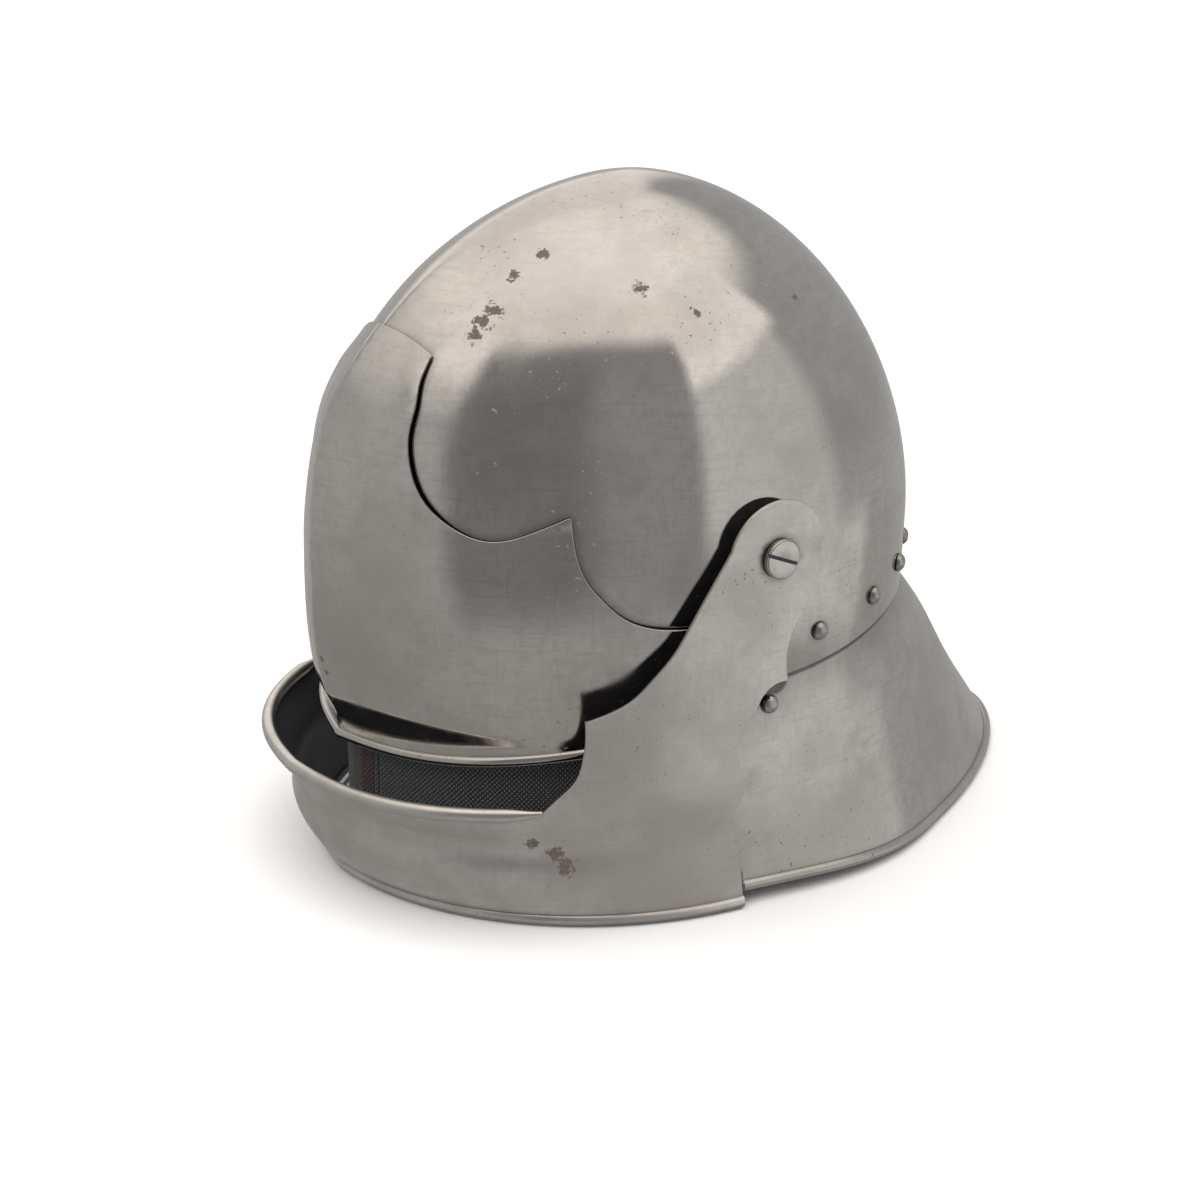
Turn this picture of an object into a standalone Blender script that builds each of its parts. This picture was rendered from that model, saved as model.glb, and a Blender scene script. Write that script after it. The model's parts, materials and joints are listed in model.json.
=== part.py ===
"""A sallet helmet with a lifting visor and a lifting bevor, in metres, +Z up, front towards -Y.

The skull, visor and bevor are thin plates cut from one family of domed surfaces. The visor and
the bevor turn on the two side screws. The neck guard is riveted inside the skull's lower edge,
and a cloth lining hangs inside. The helmet stands on the bevor's lower rim and the guard's tail.
"""

import math

import bmesh
import bpy
import numpy as np
from mathutils import Matrix, Vector, geometry

# Driving sizes
PIVOT_HEIGHT = 0.137
DOME_TOP = 0.123
DOME_DROP = 0.008
DOME_CENTRE = 0.0048
DOME_POWER = 1.9
SKULL_REACH = 0.1426
SKULL_BACK = 0.114
SKULL_HALF_WIDTH = 0.101
BACK_POWER = 2.13
RIDGE_SLOPE = 0.238
RIDGE_FADE = 0.040
RIDGE_SIDE = 0.70
BLEND_START = 60
BLEND_END = 120
PLATE = 0.0014
VISOR_GAP = 0.0009
ARM_GAP = 0.0006
TUCK_GAP = 0.0006
BEVOR_REACH = 0.1445
BEVOR_RIDGE_SLOPE = 0.08
BEVOR_BACK = 0.150
VISOR_LOBE = 0.018
BEVOR_LOBE = 0.0212
VISOR_ROLL = 0.0022
BEVOR_TOP_ROLL = 0.0026
BEVOR_FOOT_ROLL = 0.0025
GUARD_ROLL = 0.0023
GUARD_HALF_WIDTH = 0.1085
GUARD_REACH = 0.2018
GUARD_CENTRE = 0.035
GUARD_FRONT_REACH = 0.142
GUARD_FRONT_POWER = 2.2
GUARD_RIM_POWER = 1.50
GUARD_RIM_LIFT = 0.0050
GUARD_LEVEL_RUN = 0.120
RIVET_HEAD = 0.0036
RIVET_RISE = 0.0026
RIVET_SHANK = 0.0016
RIVET_SLACK = 0.0006
SCREW_HEAD = 0.0074
SCREW_HEAD_RISE = 0.0024
SCREW_SHANK = 0.0025
SCREW_SLOT_WIDTH = 0.0013
SCREW_SLOT_DEPTH = 0.0010
SCREW_SLOT_TURN = -22
NUT_ACROSS = 0.0090
NUT_THICKNESS = 0.0022
NUT_SEAT = 0.0018
CLEARANCE = 0.0003
LINING_WALL = 0.0025
LINING_CROWN_GAP = 0.0010
LINING_SIDE_GAP = 0.0046
LINING_THROAT_WIDTH = 0.0875
LINING_THROAT_REACH = 0.115

# Sizes that follow from them
DOME_RISE = DOME_TOP + DOME_DROP
VISOR_STAND_OFF = PLATE + VISOR_GAP
ARM_HALF_WIDTH = SKULL_HALF_WIDTH + VISOR_STAND_OFF + ARM_GAP + PLATE
GUARD_INSET = PLATE + TUCK_GAP
PIVOT_Y = (BEVOR_REACH + BEVOR_TOP_ROLL - GUARD_REACH - GUARD_ROLL) / 2
PIVOT = Vector((0, PIVOT_Y, PIVOT_HEIGHT))

# How fine the faceted plates are: plates that nest share these turns and levels, so they stay parallel
TURNS = (0, 5, 11, 18, 26, 35, 45, 56, 67, 78, 90, 101, 112, 123, 134, 145, 156, 168, 180)
LEVELS = (-0.90, -0.80, -0.70, -0.60, -0.47, -0.35, -0.23, -0.11, 0.02, 0.15, 0.28, 0.41, 0.53, 0.65)
CROWN_LEVELS = ((0.76, 2), (0.86, 2), (0.935, 4), (0.985, 4))
LEVEL_SPARE = 0.03
EDGE_STEP = 0.012
EDGE_MARGIN = 0.42
LINING_STEP = 0.022
RIM_STEP = 0.0105
PER_DEGREE = 0.0021
DOME_ARC = 0.118

# Skull and visor: level, then forward and sideways reach as shares of the dome's, and fullness.
# A level is a share of DOME_TOP above the pivot and of PIVOT_HEIGHT below it.
HEAD_FORM = (
    ("level", "forward", "sideways", "power"),
    (-0.577, 0.901, 0.952, 2.10),
    (-0.511, 0.894, 0.957, 2.00),
    (-0.467, 0.915, 0.967, 1.95),
    (-0.394, 0.936, 0.977, 1.90),
    (-0.292, 0.949, 0.990, 1.85),
    (-0.117, 0.953, 1.000, 1.82),
    (0.000, 0.956, 1.000, 1.77),
    (0.220, 0.976, 1.000, 1.70),
    (0.390, 1.000, 1.000, 1.665),
    (0.540, 1.000, 1.000, 1.67),
    (0.700, 1.000, 1.000, 1.74),
    (0.850, 1.000, 1.000, 1.76),
    (1.000, 1.000, 1.000, 1.757),
)
# Bevor: the same columns, as shares of BEVOR_REACH and ARM_HALF_WIDTH.
BEVOR_FORM = (
    ("level", "forward", "sideways", "power"),
    (-1.000, 0.837, 1.011, 1.95),
    (-0.912, 0.910, 1.011, 2.00),
    (-0.818, 0.945, 1.011, 2.00),
    (-0.752, 0.948, 1.011, 1.98),
    (-0.701, 0.969, 1.011, 2.10),
    (-0.642, 0.998, 1.012, 2.22),
    (-0.511, 1.010, 1.008, 2.20),
    (-0.350, 1.017, 1.005, 2.20),
    (0.000, 1.030, 1.000, 2.20),
    (0.180, 0.969, 1.000, 2.20),
)
# Neck guard: how far down from the seam, and how far out towards the rim, both as shares.
GUARD_FLARE = (
    ("drop", "spread"),
    (0.00, 0.00),
    (0.05, 0.080),
    (0.12, 0.175),
    (0.23, 0.305),
    (0.44, 0.500),
    (0.65, 0.680),
    (0.85, 0.865),
    (1.00, 1.000),
)
# Lining: level, then the way from the dome's inside (0) to the throat's own outline (1).
LINING_FALL = (
    ("level", "throat"),
    (-0.95, 1.00),
    (-0.60, 0.97),
    (-0.35, 0.60),
    (-0.10, 0.12),
    (0.20, 0.00),
    (1.00, 0.00),
)

# Outlines: smooth stretches of (turn, level) points. Turn is 0 in front, 90 at the pivot, 180 behind.
SKULL_SEAM = (
    (180, -0.277), (160, -0.277), (141, -0.279), (131, -0.288), (120, -0.309), (108, -0.336), (96, -0.355)
)
SKULL_EDGES = (
    SKULL_SEAM + ((86, -0.358), (78, -0.345)),
    ((78, -0.345), (71, -0.325), (64, -0.27), (58.5, -0.185), (53, -0.085), (46, -0.02), (38, -0.015),
     (29, 0.03), (20, 0.09), (10, 0.135), (0, 0.15)),
)
VISOR_EDGES = (
    ((0, 0.618), (11.5, 0.593), (18.5, 0.561)),
    ((18.5, 0.561), (18.9, 0.50), (20.2, 0.44), (20.7, 0.36), (21.7, 0.29), (24, 0.21), (28, 0.142),
     (32.5, 0.098), (37, 0.076), (41, 0.077), (46, 0.102), (53, 0.152)),
    ((53, 0.152), (53.6, 0.07), (55.5, -0.02), (58.5, -0.078), (63, -0.138), (69, -0.168), (75, -0.172)),
)
VISOR_ARM_TOP = ((75, -0.172), (79.5, -0.125), (82, -0.02))
VISOR_ARM_REAR = ((91, -0.136), (82, -0.22), (73, -0.36), (70.0, -0.467))
VISOR_ARM_START = 148
VISOR_ARM_END = -12
BEVOR_EDGES = (
    ((53.2, -0.610), (56.3, -0.580), (58.3, -0.545), (59.5, -0.490), (60, -0.422), (60, -0.379)),
    ((60, -0.379), (63.5, -0.360), (67, -0.330), (70.5, -0.274), (73.2, -0.223), (76, -0.145),
     (79.6, -0.036)),
)
BEVOR_LOBE_START = 166
BEVOR_LOBE_END = -22
# The bevor's rear edge in side view: forward or back of the pivot, then level.
BEVOR_REAR = (
    ((0.0172, -0.110), (0.0121, -0.161), (0.0073, -0.217), (0.0050, -0.290), (0.0064, -0.365)),
    ((-0.0090, -0.629), (-0.0140, -0.668), (-0.0165, -0.728), (-0.0150, -0.795), (-0.0115, -0.930),
     (-0.0105, -0.981)),
)
EAR_RIVET = (0.0036, -0.436)
EAR_NOTCH = 0.0115
EAR_NOTCH_START = 78
EAR_NOTCH_END = 148
LOWER_NOTCH_CENTRE = (0.0010, -0.526)
LOWER_NOTCH = 0.0172
LOWER_NOTCH_START = 122
LOWER_NOTCH_END = 234
SEAM_RIVETS = (
    (100.5, -0.255), (117.5, -0.217), (131.5, -0.180), (147.5, -0.172), (164.0, -0.170), (180, -0.170)
)
LINING_EDGES = (
    ((0, -0.590), (25, -0.585), (50, -0.545), (64, -0.40), (67, -0.20), (64, -0.02), (54, 0.12), (30, 0.23),
     (0, 0.255)),
    ((180, -0.50), (150, -0.50), (115, -0.56), (88, -0.78), (60, -0.90), (30, -0.925), (0, -0.93)),
)
VISOR_RIM_END = 70.0
VISOR_RIM_RISE = 0.155
BEVOR_RIM_END = 53.2
BEVOR_RIM_LEVEL = -0.645
BEVOR_RIM_RISE = 0.040
GUARD_FRONT_TURN = 78
GUARD_RIM_FRONT_TURN = 66
GUARD_TUCK = 0.028
GUARD_MAP_DEPTH = 0.092
GUARD_FORM_FLOOR = -0.39
GUARD_FRONT = ((0.00, -0.30), (0.00, 0.10), (0.01, 0.50), (0.03, 0.925))
GUARD_ROLL_START = -0.0090
GUARD_START = (0.1, 0.1)
GUARD_TRIES = 60
GUARD_ROWS = (-0.16, 0.10, 0.24, 0.42, 0.60, 0.80)
LINING_TURNS = (0, 13, 28, 44, 61, 79, 97, 118, 138, 159, 180)
LINING_LEVELS = (-0.78, -0.60, -0.42, -0.24, -0.06, 0.16, 0.36, 0.55)


def height(level):
    """Metres above the pivot axis for a level share."""
    return level * (DOME_TOP if level > 0 else PIVOT_HEIGHT)


def spline(knots, values):
    """A natural cubic through the knots, as a function."""
    x = np.array(knots, float)
    y = np.array(values, float)
    gaps = np.diff(x)
    matrix = np.eye(len(x))
    right = np.zeros(len(x))
    for i in range(1, len(x) - 1):
        matrix[i, i - 1 : i + 2] = gaps[i - 1], 2 * (gaps[i - 1] + gaps[i]), gaps[i]
        right[i] = 3 * ((y[i + 1] - y[i]) / gaps[i] - (y[i] - y[i - 1]) / gaps[i - 1])
    bend = np.linalg.solve(matrix, right)

    def value(at):
        at = min(max(at, x[0]), x[-1])
        i = min(int(np.searchsorted(x, at, "right")) - 1, len(gaps) - 1)
        t = at - x[i]
        slope = (y[i + 1] - y[i]) / gaps[i] - gaps[i] * (2 * bend[i] + bend[i + 1]) / 3
        return float(y[i] + t * (slope + t * (bend[i] + t * (bend[i + 1] - bend[i]) / (3 * gaps[i]))))

    return value


def column(table, name, scale=lambda level: level):
    """One column of a form table, as a function of height or of the table's own first column."""
    rows = table[1:]
    return spline([scale(row[0]) for row in rows], [row[table[0].index(name)] for row in rows])


head_forward = column(HEAD_FORM, "forward", height)
head_sideways = column(HEAD_FORM, "sideways", height)
head_power = column(HEAD_FORM, "power", height)
bevor_forward = column(BEVOR_FORM, "forward", height)
bevor_sideways = column(BEVOR_FORM, "sideways", height)
bevor_power = column(BEVOR_FORM, "power", height)
guard_spread = column(GUARD_FLARE, "spread")
lining_fall = column(LINING_FALL, "throat", height)


def dome_share(z):
    """How much of its full plan the dome has at height z."""
    up = min(max((z + DOME_DROP) / DOME_RISE, 0), 1)
    return max(1 - up**DOME_POWER, 0) ** (1 / DOME_POWER)


def eased(value, start, end):
    """0 before the start and 1 after the end, with a smooth rise between them."""
    share = min(max((value - start) / (end - start), 0), 1)
    return share * share * (3 - 2 * share)


def plan_point(turn, z, centre, front, side, back, front_power, back_power, slope):
    """A point of a rounded plan section, with the soft ridge that runs down the middle in front."""
    angle = math.radians(turn)
    ahead = math.cos(angle)
    across = math.sin(angle)
    power = front_power + (back_power - front_power) * eased(turn, BLEND_START, BLEND_END)
    reach = (abs(ahead) ** power + abs(across) ** power) ** (-1 / power)
    x = side * across * reach
    y = centre - (front if ahead > 0 else back) * ahead * reach
    y += slope * abs(x) * math.exp(-abs(x) / RIDGE_FADE) * eased(ahead, 0, RIDGE_SIDE)
    return Vector((x, y, z))


def head_point(turn, z, out=0.0):
    """The head form's surface moved out by a distance: 0 is the skull's outside."""
    share = dome_share(z)
    return plan_point(
        turn,
        z,
        DOME_CENTRE,
        SKULL_REACH * share * head_forward(z) + out,
        SKULL_HALF_WIDTH * share * head_sideways(z) + out,
        SKULL_BACK * share + out,
        head_power(z),
        BACK_POWER,
        RIDGE_SLOPE,
    )


def visor_point(turn, z):
    return head_point(turn, z, VISOR_STAND_OFF)


def bevor_point(turn, z):
    return plan_point(
        turn,
        z,
        0,
        BEVOR_REACH * bevor_forward(z),
        ARM_HALF_WIDTH * bevor_sideways(z),
        BEVOR_BACK,
        bevor_power(z),
        bevor_power(z),
        BEVOR_RIDGE_SLOPE,
    )


def lining_point(turn, z):
    """Close under the crown, standing off at the sides, and narrowing to a throat piece below."""
    rise = max(z + DOME_DROP, 0) / DOME_RISE
    inset = PLATE + LINING_CROWN_GAP + (LINING_SIDE_GAP - LINING_CROWN_GAP) * (1 - rise**4)
    share = dome_share(z)
    throat = lining_fall(z)
    front = (SKULL_REACH * head_forward(z) - inset) * (1 - throat)
    front += (LINING_THROAT_REACH + DOME_CENTRE) * throat
    side = (SKULL_HALF_WIDTH - inset) * (1 - throat) + LINING_THROAT_WIDTH * throat
    sunk = z - inset if z > 0 else z - inset * share
    return plan_point(
        turn,
        sunk if share < 1 else z,
        DOME_CENTRE,
        max(front, 0) * share,
        side * share,
        (SKULL_BACK - inset) * share,
        head_power(z),
        BACK_POWER,
        RIDGE_SLOPE,
    )


seam_turns, seam_levels = zip(*reversed(SKULL_SEAM))
seam_height = spline(seam_turns, [height(level) for level in seam_levels])


def guard_turns(run):
    """The skull's turn and the rim's turn at a share of the way from the guard's front to its tail."""
    return 180 - (1 - run) * (180 - GUARD_FRONT_TURN), 180 - (1 - run) * (180 - GUARD_RIM_FRONT_TURN)


def guard_rim_point(run):
    """The guard's rim, level round the tail and a little higher towards the front."""
    turn = guard_turns(run)[1]
    half = GUARD_HALF_WIDTH
    back = GUARD_REACH - GUARD_CENTRE
    point = plan_point(
        turn, 0, GUARD_CENTRE, GUARD_FRONT_REACH, half, back, GUARD_FRONT_POWER, GUARD_RIM_POWER, 0
    )
    lift = GUARD_RIM_LIFT * (1 - eased(point.y, 0, GUARD_LEVEL_RUN))
    point.z = -PIVOT_HEIGHT + GUARD_ROLL + lift
    return point


def run_at(y):
    """The share of the way along the guard at which its rim passes a distance behind the pivot."""
    low, high = 0.0, 0.6
    while high - low > 0.00001:
        middle = (low + high) / 2
        if guard_rim_point(middle).y < y:
            low = middle
        else:
            high = middle
    return low


def guard_point(run, drop):
    """The neck guard: inside the skull above the seam, and flaring to the rim below it."""
    turn = guard_turns(run)[0]
    rim = guard_rim_point(run)
    top = seam_height(turn)
    z = top + (rim.z - top) * drop
    settle = top - height(GUARD_FORM_FLOOR)
    followed = z if z > top else top - settle * (1 - math.exp((z - top) / settle))
    inside = head_point(turn, followed, -GUARD_INSET)
    seam = head_point(turn, top, -GUARD_INSET)
    spread = guard_spread(drop) if drop > 0 else 0
    return Vector((inside.x + (rim.x - seam.x) * spread, inside.y + (rim.y - seam.y) * spread, z))


def smooth(points, step):
    """Points about a step apart along a smooth line through the given ones; two stay a straight line."""
    at = np.concatenate([[0], np.cumsum([math.dist(a, b) for a, b in zip(points, points[1:])])])
    count = max(int(round(at[-1] / step)), len(points) - 1, 1)
    lines = [spline(at, [point[i] for point in points]) for i in (0, 1)]
    return [tuple(line(t) for line in lines) for t in np.linspace(0, at[-1], count + 1)]


def joined(stretches, step):
    """Stretches end to end as one open outline, with a corner where two meet."""
    outline = []
    for stretch in stretches:
        points = smooth(stretch, step)
        outline += points[1:] if outline and math.dist(outline[-1], points[0]) < step / 20 else points
    return outline


def inside(outline, x, y):
    """Whether a point lies inside a closed outline."""
    found = False
    for (x0, y0), (x1, y1) in zip(outline, outline[1:] + outline[:1]):
        if (y0 > y) != (y1 > y) and x < x0 + (y - y0) * (x1 - x0) / (y1 - y0):
            found = not found
    return found


def clear_of(outline, x, y, distance):
    """Whether a point keeps its distance from every edge of a closed outline."""
    at = Vector((x, y))
    for start, end in zip(outline, outline[1:] + outline[:1]):
        nearest, share = geometry.intersect_point_line(at, Vector(start), Vector(end))
        nearest = Vector(start).lerp(Vector(end), min(max(share, 0), 1))
        if (nearest - at).length < distance:
            return False
    return True


def filled(outline, grid, place, creases=()):
    """An open mesh that fills a flat outline, with the grid points inside it, each put in its place."""
    margin = EDGE_STEP * EDGE_MARGIN
    points = [Vector(point) for point in outline]
    count = len(outline)
    edges = [(i, (i + 1) % count) for i in range(count)]
    for crease in creases:
        edges += [(len(points) + i, len(points) + i + 1) for i in range(len(crease) - 1)]
        points += [Vector(point) for point in crease]
    kept = points[count:]
    for x, y in grid:
        at = Vector((x, y))
        if inside(outline, x, y) and clear_of(outline, x, y, margin):
            if all((at - other).length > margin for other in kept):
                points.append(at)
    flat_points, _, faces, *_ = geometry.delaunay_2d_cdt(points, edges, [], 1, 1e-7)
    shape = bmesh.new()
    corners = [shape.verts.new(place(*point)) for point in flat_points]
    for face in faces:
        shape.faces.new([corners[i] for i in face])
    shape.normal_update()
    return shape


def drum_grid():
    return [(turn * PER_DEGREE, height(level)) for turn in TURNS for level in LEVELS]


def dome_grid(turns, levels):
    grid = [dome_flat(turn, height(level)) for turn in turns for level in levels]
    for level, every in CROWN_LEVELS:
        grid += [dome_flat(turn, height(level)) for turn in turns[::every]]
    return grid


def material(name, colour, roughness, metallic):
    made = bpy.data.materials.new(name)
    made.use_nodes = True
    surface = made.node_tree.nodes["Principled BSDF"]
    surface.inputs["Base Color"].default_value = (*colour, 1)
    surface.inputs["Roughness"].default_value = roughness
    surface.inputs["Metallic"].default_value = metallic
    return made


def new_object(name, shape, collection, finish=None):
    """A bmesh as a named object, smooth where it is round."""
    mesh = bpy.data.meshes.new(name)
    shape.to_mesh(mesh)
    shape.free()
    obj = bpy.data.objects.new(name, mesh)
    collection.objects.link(obj)
    mesh.shade_smooth()
    mesh.set_sharp_from_angle(angle=math.radians(40))
    if finish:
        mesh.materials.append(finish)
    return obj


def mirrored_plate(name, shape, collection, finish, wall):
    """Half of an open surface made whole, then thickened inwards."""
    bmesh.ops.recalc_face_normals(shape, faces=shape.faces)
    outward = sum((face.normal.dot(face.calc_center_median() - PIVOT) for face in shape.faces))
    if outward < 0:
        bmesh.ops.reverse_faces(shape, faces=shape.faces)
    obj = new_object(name, shape, collection, finish)
    mirror = obj.modifiers.new("both_sides", "MIRROR")
    mirror.merge_threshold = 0.0001
    thick = obj.modifiers.new("thickness", "SOLIDIFY")
    thick.thickness = wall
    thick.offset = -1
    thick.use_even_offset = True
    return obj


def tool(obj):
    """Marks an object as a cutter or a joined-on piece, which isn't a piece of its own."""
    obj.hide_render = True
    obj.display_type = "WIRE"
    return obj


def boolean(obj, other, operation):
    step = obj.modifiers.new(other.name, "BOOLEAN")
    step.object = other
    step.operation = operation
    step.solver = "EXACT"


def roll(name, path, radius, collection):
    """A rolled rim as a closed tube along a path, for joining to its plate."""
    curve = bpy.data.curves.new(name, "CURVE")
    curve.dimensions = "3D"
    curve.twist_mode = "Z_UP"
    curve.bevel_depth = radius / math.cos(math.pi / 8)
    curve.bevel_resolution = 2
    curve.use_fill_caps = True
    line = curve.splines.new("POLY")
    line.points.add(len(path) - 1)
    for point, place in zip(line.points, path):
        point.co = (*place, 1)
        point.tilt = math.pi / 8
    guide = bpy.data.objects.new(name, curve)
    collection.objects.link(guide)
    bpy.context.view_layer.update()
    mesh = bpy.data.meshes.new_from_object(guide.evaluated_get(bpy.context.evaluated_depsgraph_get()))
    shape = bmesh.new()
    shape.from_mesh(mesh)
    bmesh.ops.remove_doubles(shape, verts=shape.verts, dist=1e-6)
    bmesh.ops.recalc_face_normals(shape, faces=shape.faces)
    bpy.data.objects.remove(guide)
    return tool(new_object(name, shape, collection))


def rim_count(surface, start, end):
    """How many points a rim takes at an even step round a surface's foot."""
    z = -PIVOT_HEIGHT / 2
    turns = np.linspace(start, end, 30)
    places = [surface(turn, z) for turn in turns]
    length = sum((b - a).length for a, b in zip(places, places[1:]))
    return int(length / RIM_STEP) + 2


def inner_middle(surface, a, b, step_a, step_b):
    """The middle of the plate's thickness behind a point of its outer surface."""
    along = surface(a + step_a, b) - surface(a - step_a, b)
    down = surface(a, b + step_b) - surface(a, b - step_b)
    normal = along.cross(down).normalized()
    point = surface(a, b)
    if normal.dot(point) < 0:
        normal.negate()
    return point - normal * PLATE / 2


def rim_path(surface, turns, height_of):
    """A path round the front or back, its left half mirrored to the right."""
    half = [inner_middle(surface, turn, height_of(turn), 0.5, 0.0005) for turn in turns]
    half[0].x = 0 if abs(half[0].x) < PLATE else half[0].x
    whole = [Vector((-p.x, p.y, p.z)) for p in reversed(half)] + half[1:]
    return [p + PIVOT for p in whole]


def turn_at(surface, y, z):
    """The turn at which a surface passes a distance behind the pivot at a height."""
    low, high = 20.0, 160.0
    while high - low > 0.001:
        middle = (low + high) / 2
        if surface(middle, z).y < y:
            low = middle
        else:
            high = middle
    return low


def side_arc(surface, y, z, radius, start, end):
    """A round stretch in side view: 0 degrees points back and 90 up."""
    count = max(int(abs(math.radians(end - start)) * radius / (EDGE_STEP / 2)), 5)
    arc = []
    for angle in np.radians(np.linspace(start, end, count + 1)):
        up = z + radius * math.sin(angle)
        arc.append((turn_at(surface, y + radius * math.cos(angle), up) * PER_DEGREE, up))
    return arc


def flat(points):
    """Outline points from turn and level to flat metres."""
    return [(turn * PER_DEGREE, height(level)) for turn, level in points]


def dome_flat(turn, z):
    """The dome laid out flat from its top, like a map round a pole."""
    up = max((z + DOME_DROP) / DOME_RISE, 0)
    way = DOME_ARC * (math.acos(min(up ** (DOME_POWER / 2), 1)) if up > 0 else math.pi / 2)
    way += max(-z - DOME_DROP, 0)
    angle = math.radians(turn)
    return way * math.sin(angle), -way * math.cos(angle)


def dome_place(surface):
    """Puts a point of the flat map back on a domed surface."""

    def place(u, v):
        way = math.hypot(u, v)
        turn = math.degrees(math.atan2(max(u, 0), -v)) if way > 1e-9 else 0.0
        angle = way / DOME_ARC
        if angle < math.pi / 2:
            z = -DOME_DROP + DOME_RISE * math.cos(angle) ** (2 / DOME_POWER)
        else:
            z = -DOME_DROP - (way - DOME_ARC * math.pi / 2)
        return surface(turn, z) + PIVOT

    return place


def drum_place(surface):
    """Puts a point of the flat side map back on a surface."""

    def place(u, v):
        return surface(max(u, 0) / PER_DEGREE, v) + PIVOT

    return place


def visor_rim_height(turn):
    """The visor's rim, rising to the rear from the front of its keel."""
    z = HEAD_FORM[1][0]
    back = visor_point(turn, height(z)).y - visor_point(0, height(z)).y
    return height(z) + VISOR_RIM_RISE * back


def bevor_rim_height(turn):
    z = height(BEVOR_RIM_LEVEL)
    return z + BEVOR_RIM_RISE * (bevor_point(turn, z).y - bevor_point(0, z).y)


def build_skull(collection, finish):
    edges = [[dome_flat(turn, height(level)) for turn, level in stretch] for stretch in SKULL_EDGES]
    outline = joined(edges, EDGE_STEP)
    crown = [level for level, _ in CROWN_LEVELS]
    brow = SKULL_EDGES[-1][-1][1]
    front = [level for level in LEVELS if level > brow + LEVEL_SPARE] + crown
    back = [level for level in LEVELS if level > SKULL_SEAM[0][1] + LEVEL_SPARE] + crown
    outline += [dome_flat(0, height(level)) for level in front] + [(0.0, 0.0)]
    outline += [dome_flat(180, height(level)) for level in reversed(back)]
    outline = [(0.0 if abs(u) < 1e-9 else u, v) for u, v in outline]
    shape = filled(outline, dome_grid(TURNS, LEVELS), dome_place(head_point))
    return mirrored_plate("skull", shape, collection, finish, PLATE)


def build_visor(collection, tools, finish):
    rim_turns = np.linspace(VISOR_RIM_END, 0, rim_count(visor_point, 0, VISOR_RIM_END))
    rear = flat(VISOR_ARM_REAR)
    rear[-1] = (VISOR_RIM_END * PER_DEGREE, visor_rim_height(VISOR_RIM_END))
    lobe = side_arc(visor_point, 0, 0, VISOR_LOBE, VISOR_ARM_START, VISOR_ARM_END)
    arm_top = flat(VISOR_ARM_TOP[:-1]) + [lobe[0]]
    stretches = [flat(stretch) for stretch in VISOR_EDGES]
    outline = joined(stretches + [arm_top], EDGE_STEP) + lobe[1:]
    outline += joined([[lobe[-1]] + rear[1:]], EDGE_STEP)[1:]
    outline += [(turn * PER_DEGREE, visor_rim_height(turn)) for turn in rim_turns[1:]]
    low, high = outline[-1][1], outline[0][1]
    outline += [(0.0, height(level)) for level in LEVELS if low + EDGE_STEP / 3 < height(level) < high]
    shape = filled(outline, drum_grid(), drum_place(visor_point))
    visor = mirrored_plate("visor", shape, collection, finish, PLATE)
    path = rim_path(visor_point, rim_turns[::-1], visor_rim_height)
    boolean(visor, roll("visor_roll", path, VISOR_ROLL, tools), "UNION")
    return visor


def build_bevor(collection, tools, finish):
    rim_turns = np.linspace(0, BEVOR_RIM_END, rim_count(bevor_point, 0, BEVOR_RIM_END))
    top = [(turn * PER_DEGREE, bevor_rim_height(turn)) for turn in rim_turns]
    front = [flat(stretch) for stretch in BEVOR_EDGES]
    front[0][0] = top[-1]
    lobe = side_arc(bevor_point, 0, 0, BEVOR_LOBE, BEVOR_LOBE_START, BEVOR_LOBE_END)
    front[-1][-1] = lobe[0]
    rear = []
    for stretch in BEVOR_REAR:
        heights = [(y, height(level)) for y, level in stretch]
        rear.append([(turn_at(bevor_point, y, z) * PER_DEGREE, z) for y, z in heights])
    rear[0] = [lobe[-1]] + rear[0][1:]
    ear_y, ear_level = EAR_RIVET
    ear = side_arc(bevor_point, ear_y, height(ear_level), EAR_NOTCH, EAR_NOTCH_START, EAR_NOTCH_END)
    low_y, low_level = LOWER_NOTCH_CENTRE
    lower = side_arc(bevor_point, low_y, height(low_level), LOWER_NOTCH, LOWER_NOTCH_START, LOWER_NOTCH_END)
    rear[0][-1] = ear[0]
    rear[1][0] = lower[-1]
    foot_z = -PIVOT_HEIGHT + BEVOR_FOOT_ROLL
    foot_end = rear[1][-1][0] / PER_DEGREE
    foot_turns = np.linspace(foot_end, 0, rim_count(bevor_point, 0, foot_end))
    rear[1][-1] = (rear[1][-1][0], foot_z)
    foot = [(turn * PER_DEGREE, foot_z) for turn in foot_turns]
    outline = top + joined(front, EDGE_STEP)[1:] + lobe[1:] + joined(rear[:1], EDGE_STEP)[1:]
    outline += ear[1:] + lower + joined(rear[1:], EDGE_STEP)[1:] + foot[1:]
    outline += smooth([outline[-1], outline[0]], EDGE_STEP)[1:-1]
    shape = filled(outline, drum_grid(), drum_place(bevor_point))
    bevor = mirrored_plate("bevor", shape, collection, finish, PLATE)
    path = rim_path(bevor_point, rim_turns, bevor_rim_height)
    boolean(bevor, roll("bevor_top_roll", path, BEVOR_TOP_ROLL, tools), "UNION")
    path = rim_path(bevor_point, foot_turns[::-1], lambda turn: foot_z)
    for point in path:
        point.z = BEVOR_FOOT_ROLL
    boolean(bevor, roll("bevor_foot_roll", path, BEVOR_FOOT_ROLL, tools), "UNION")
    return bevor


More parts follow.
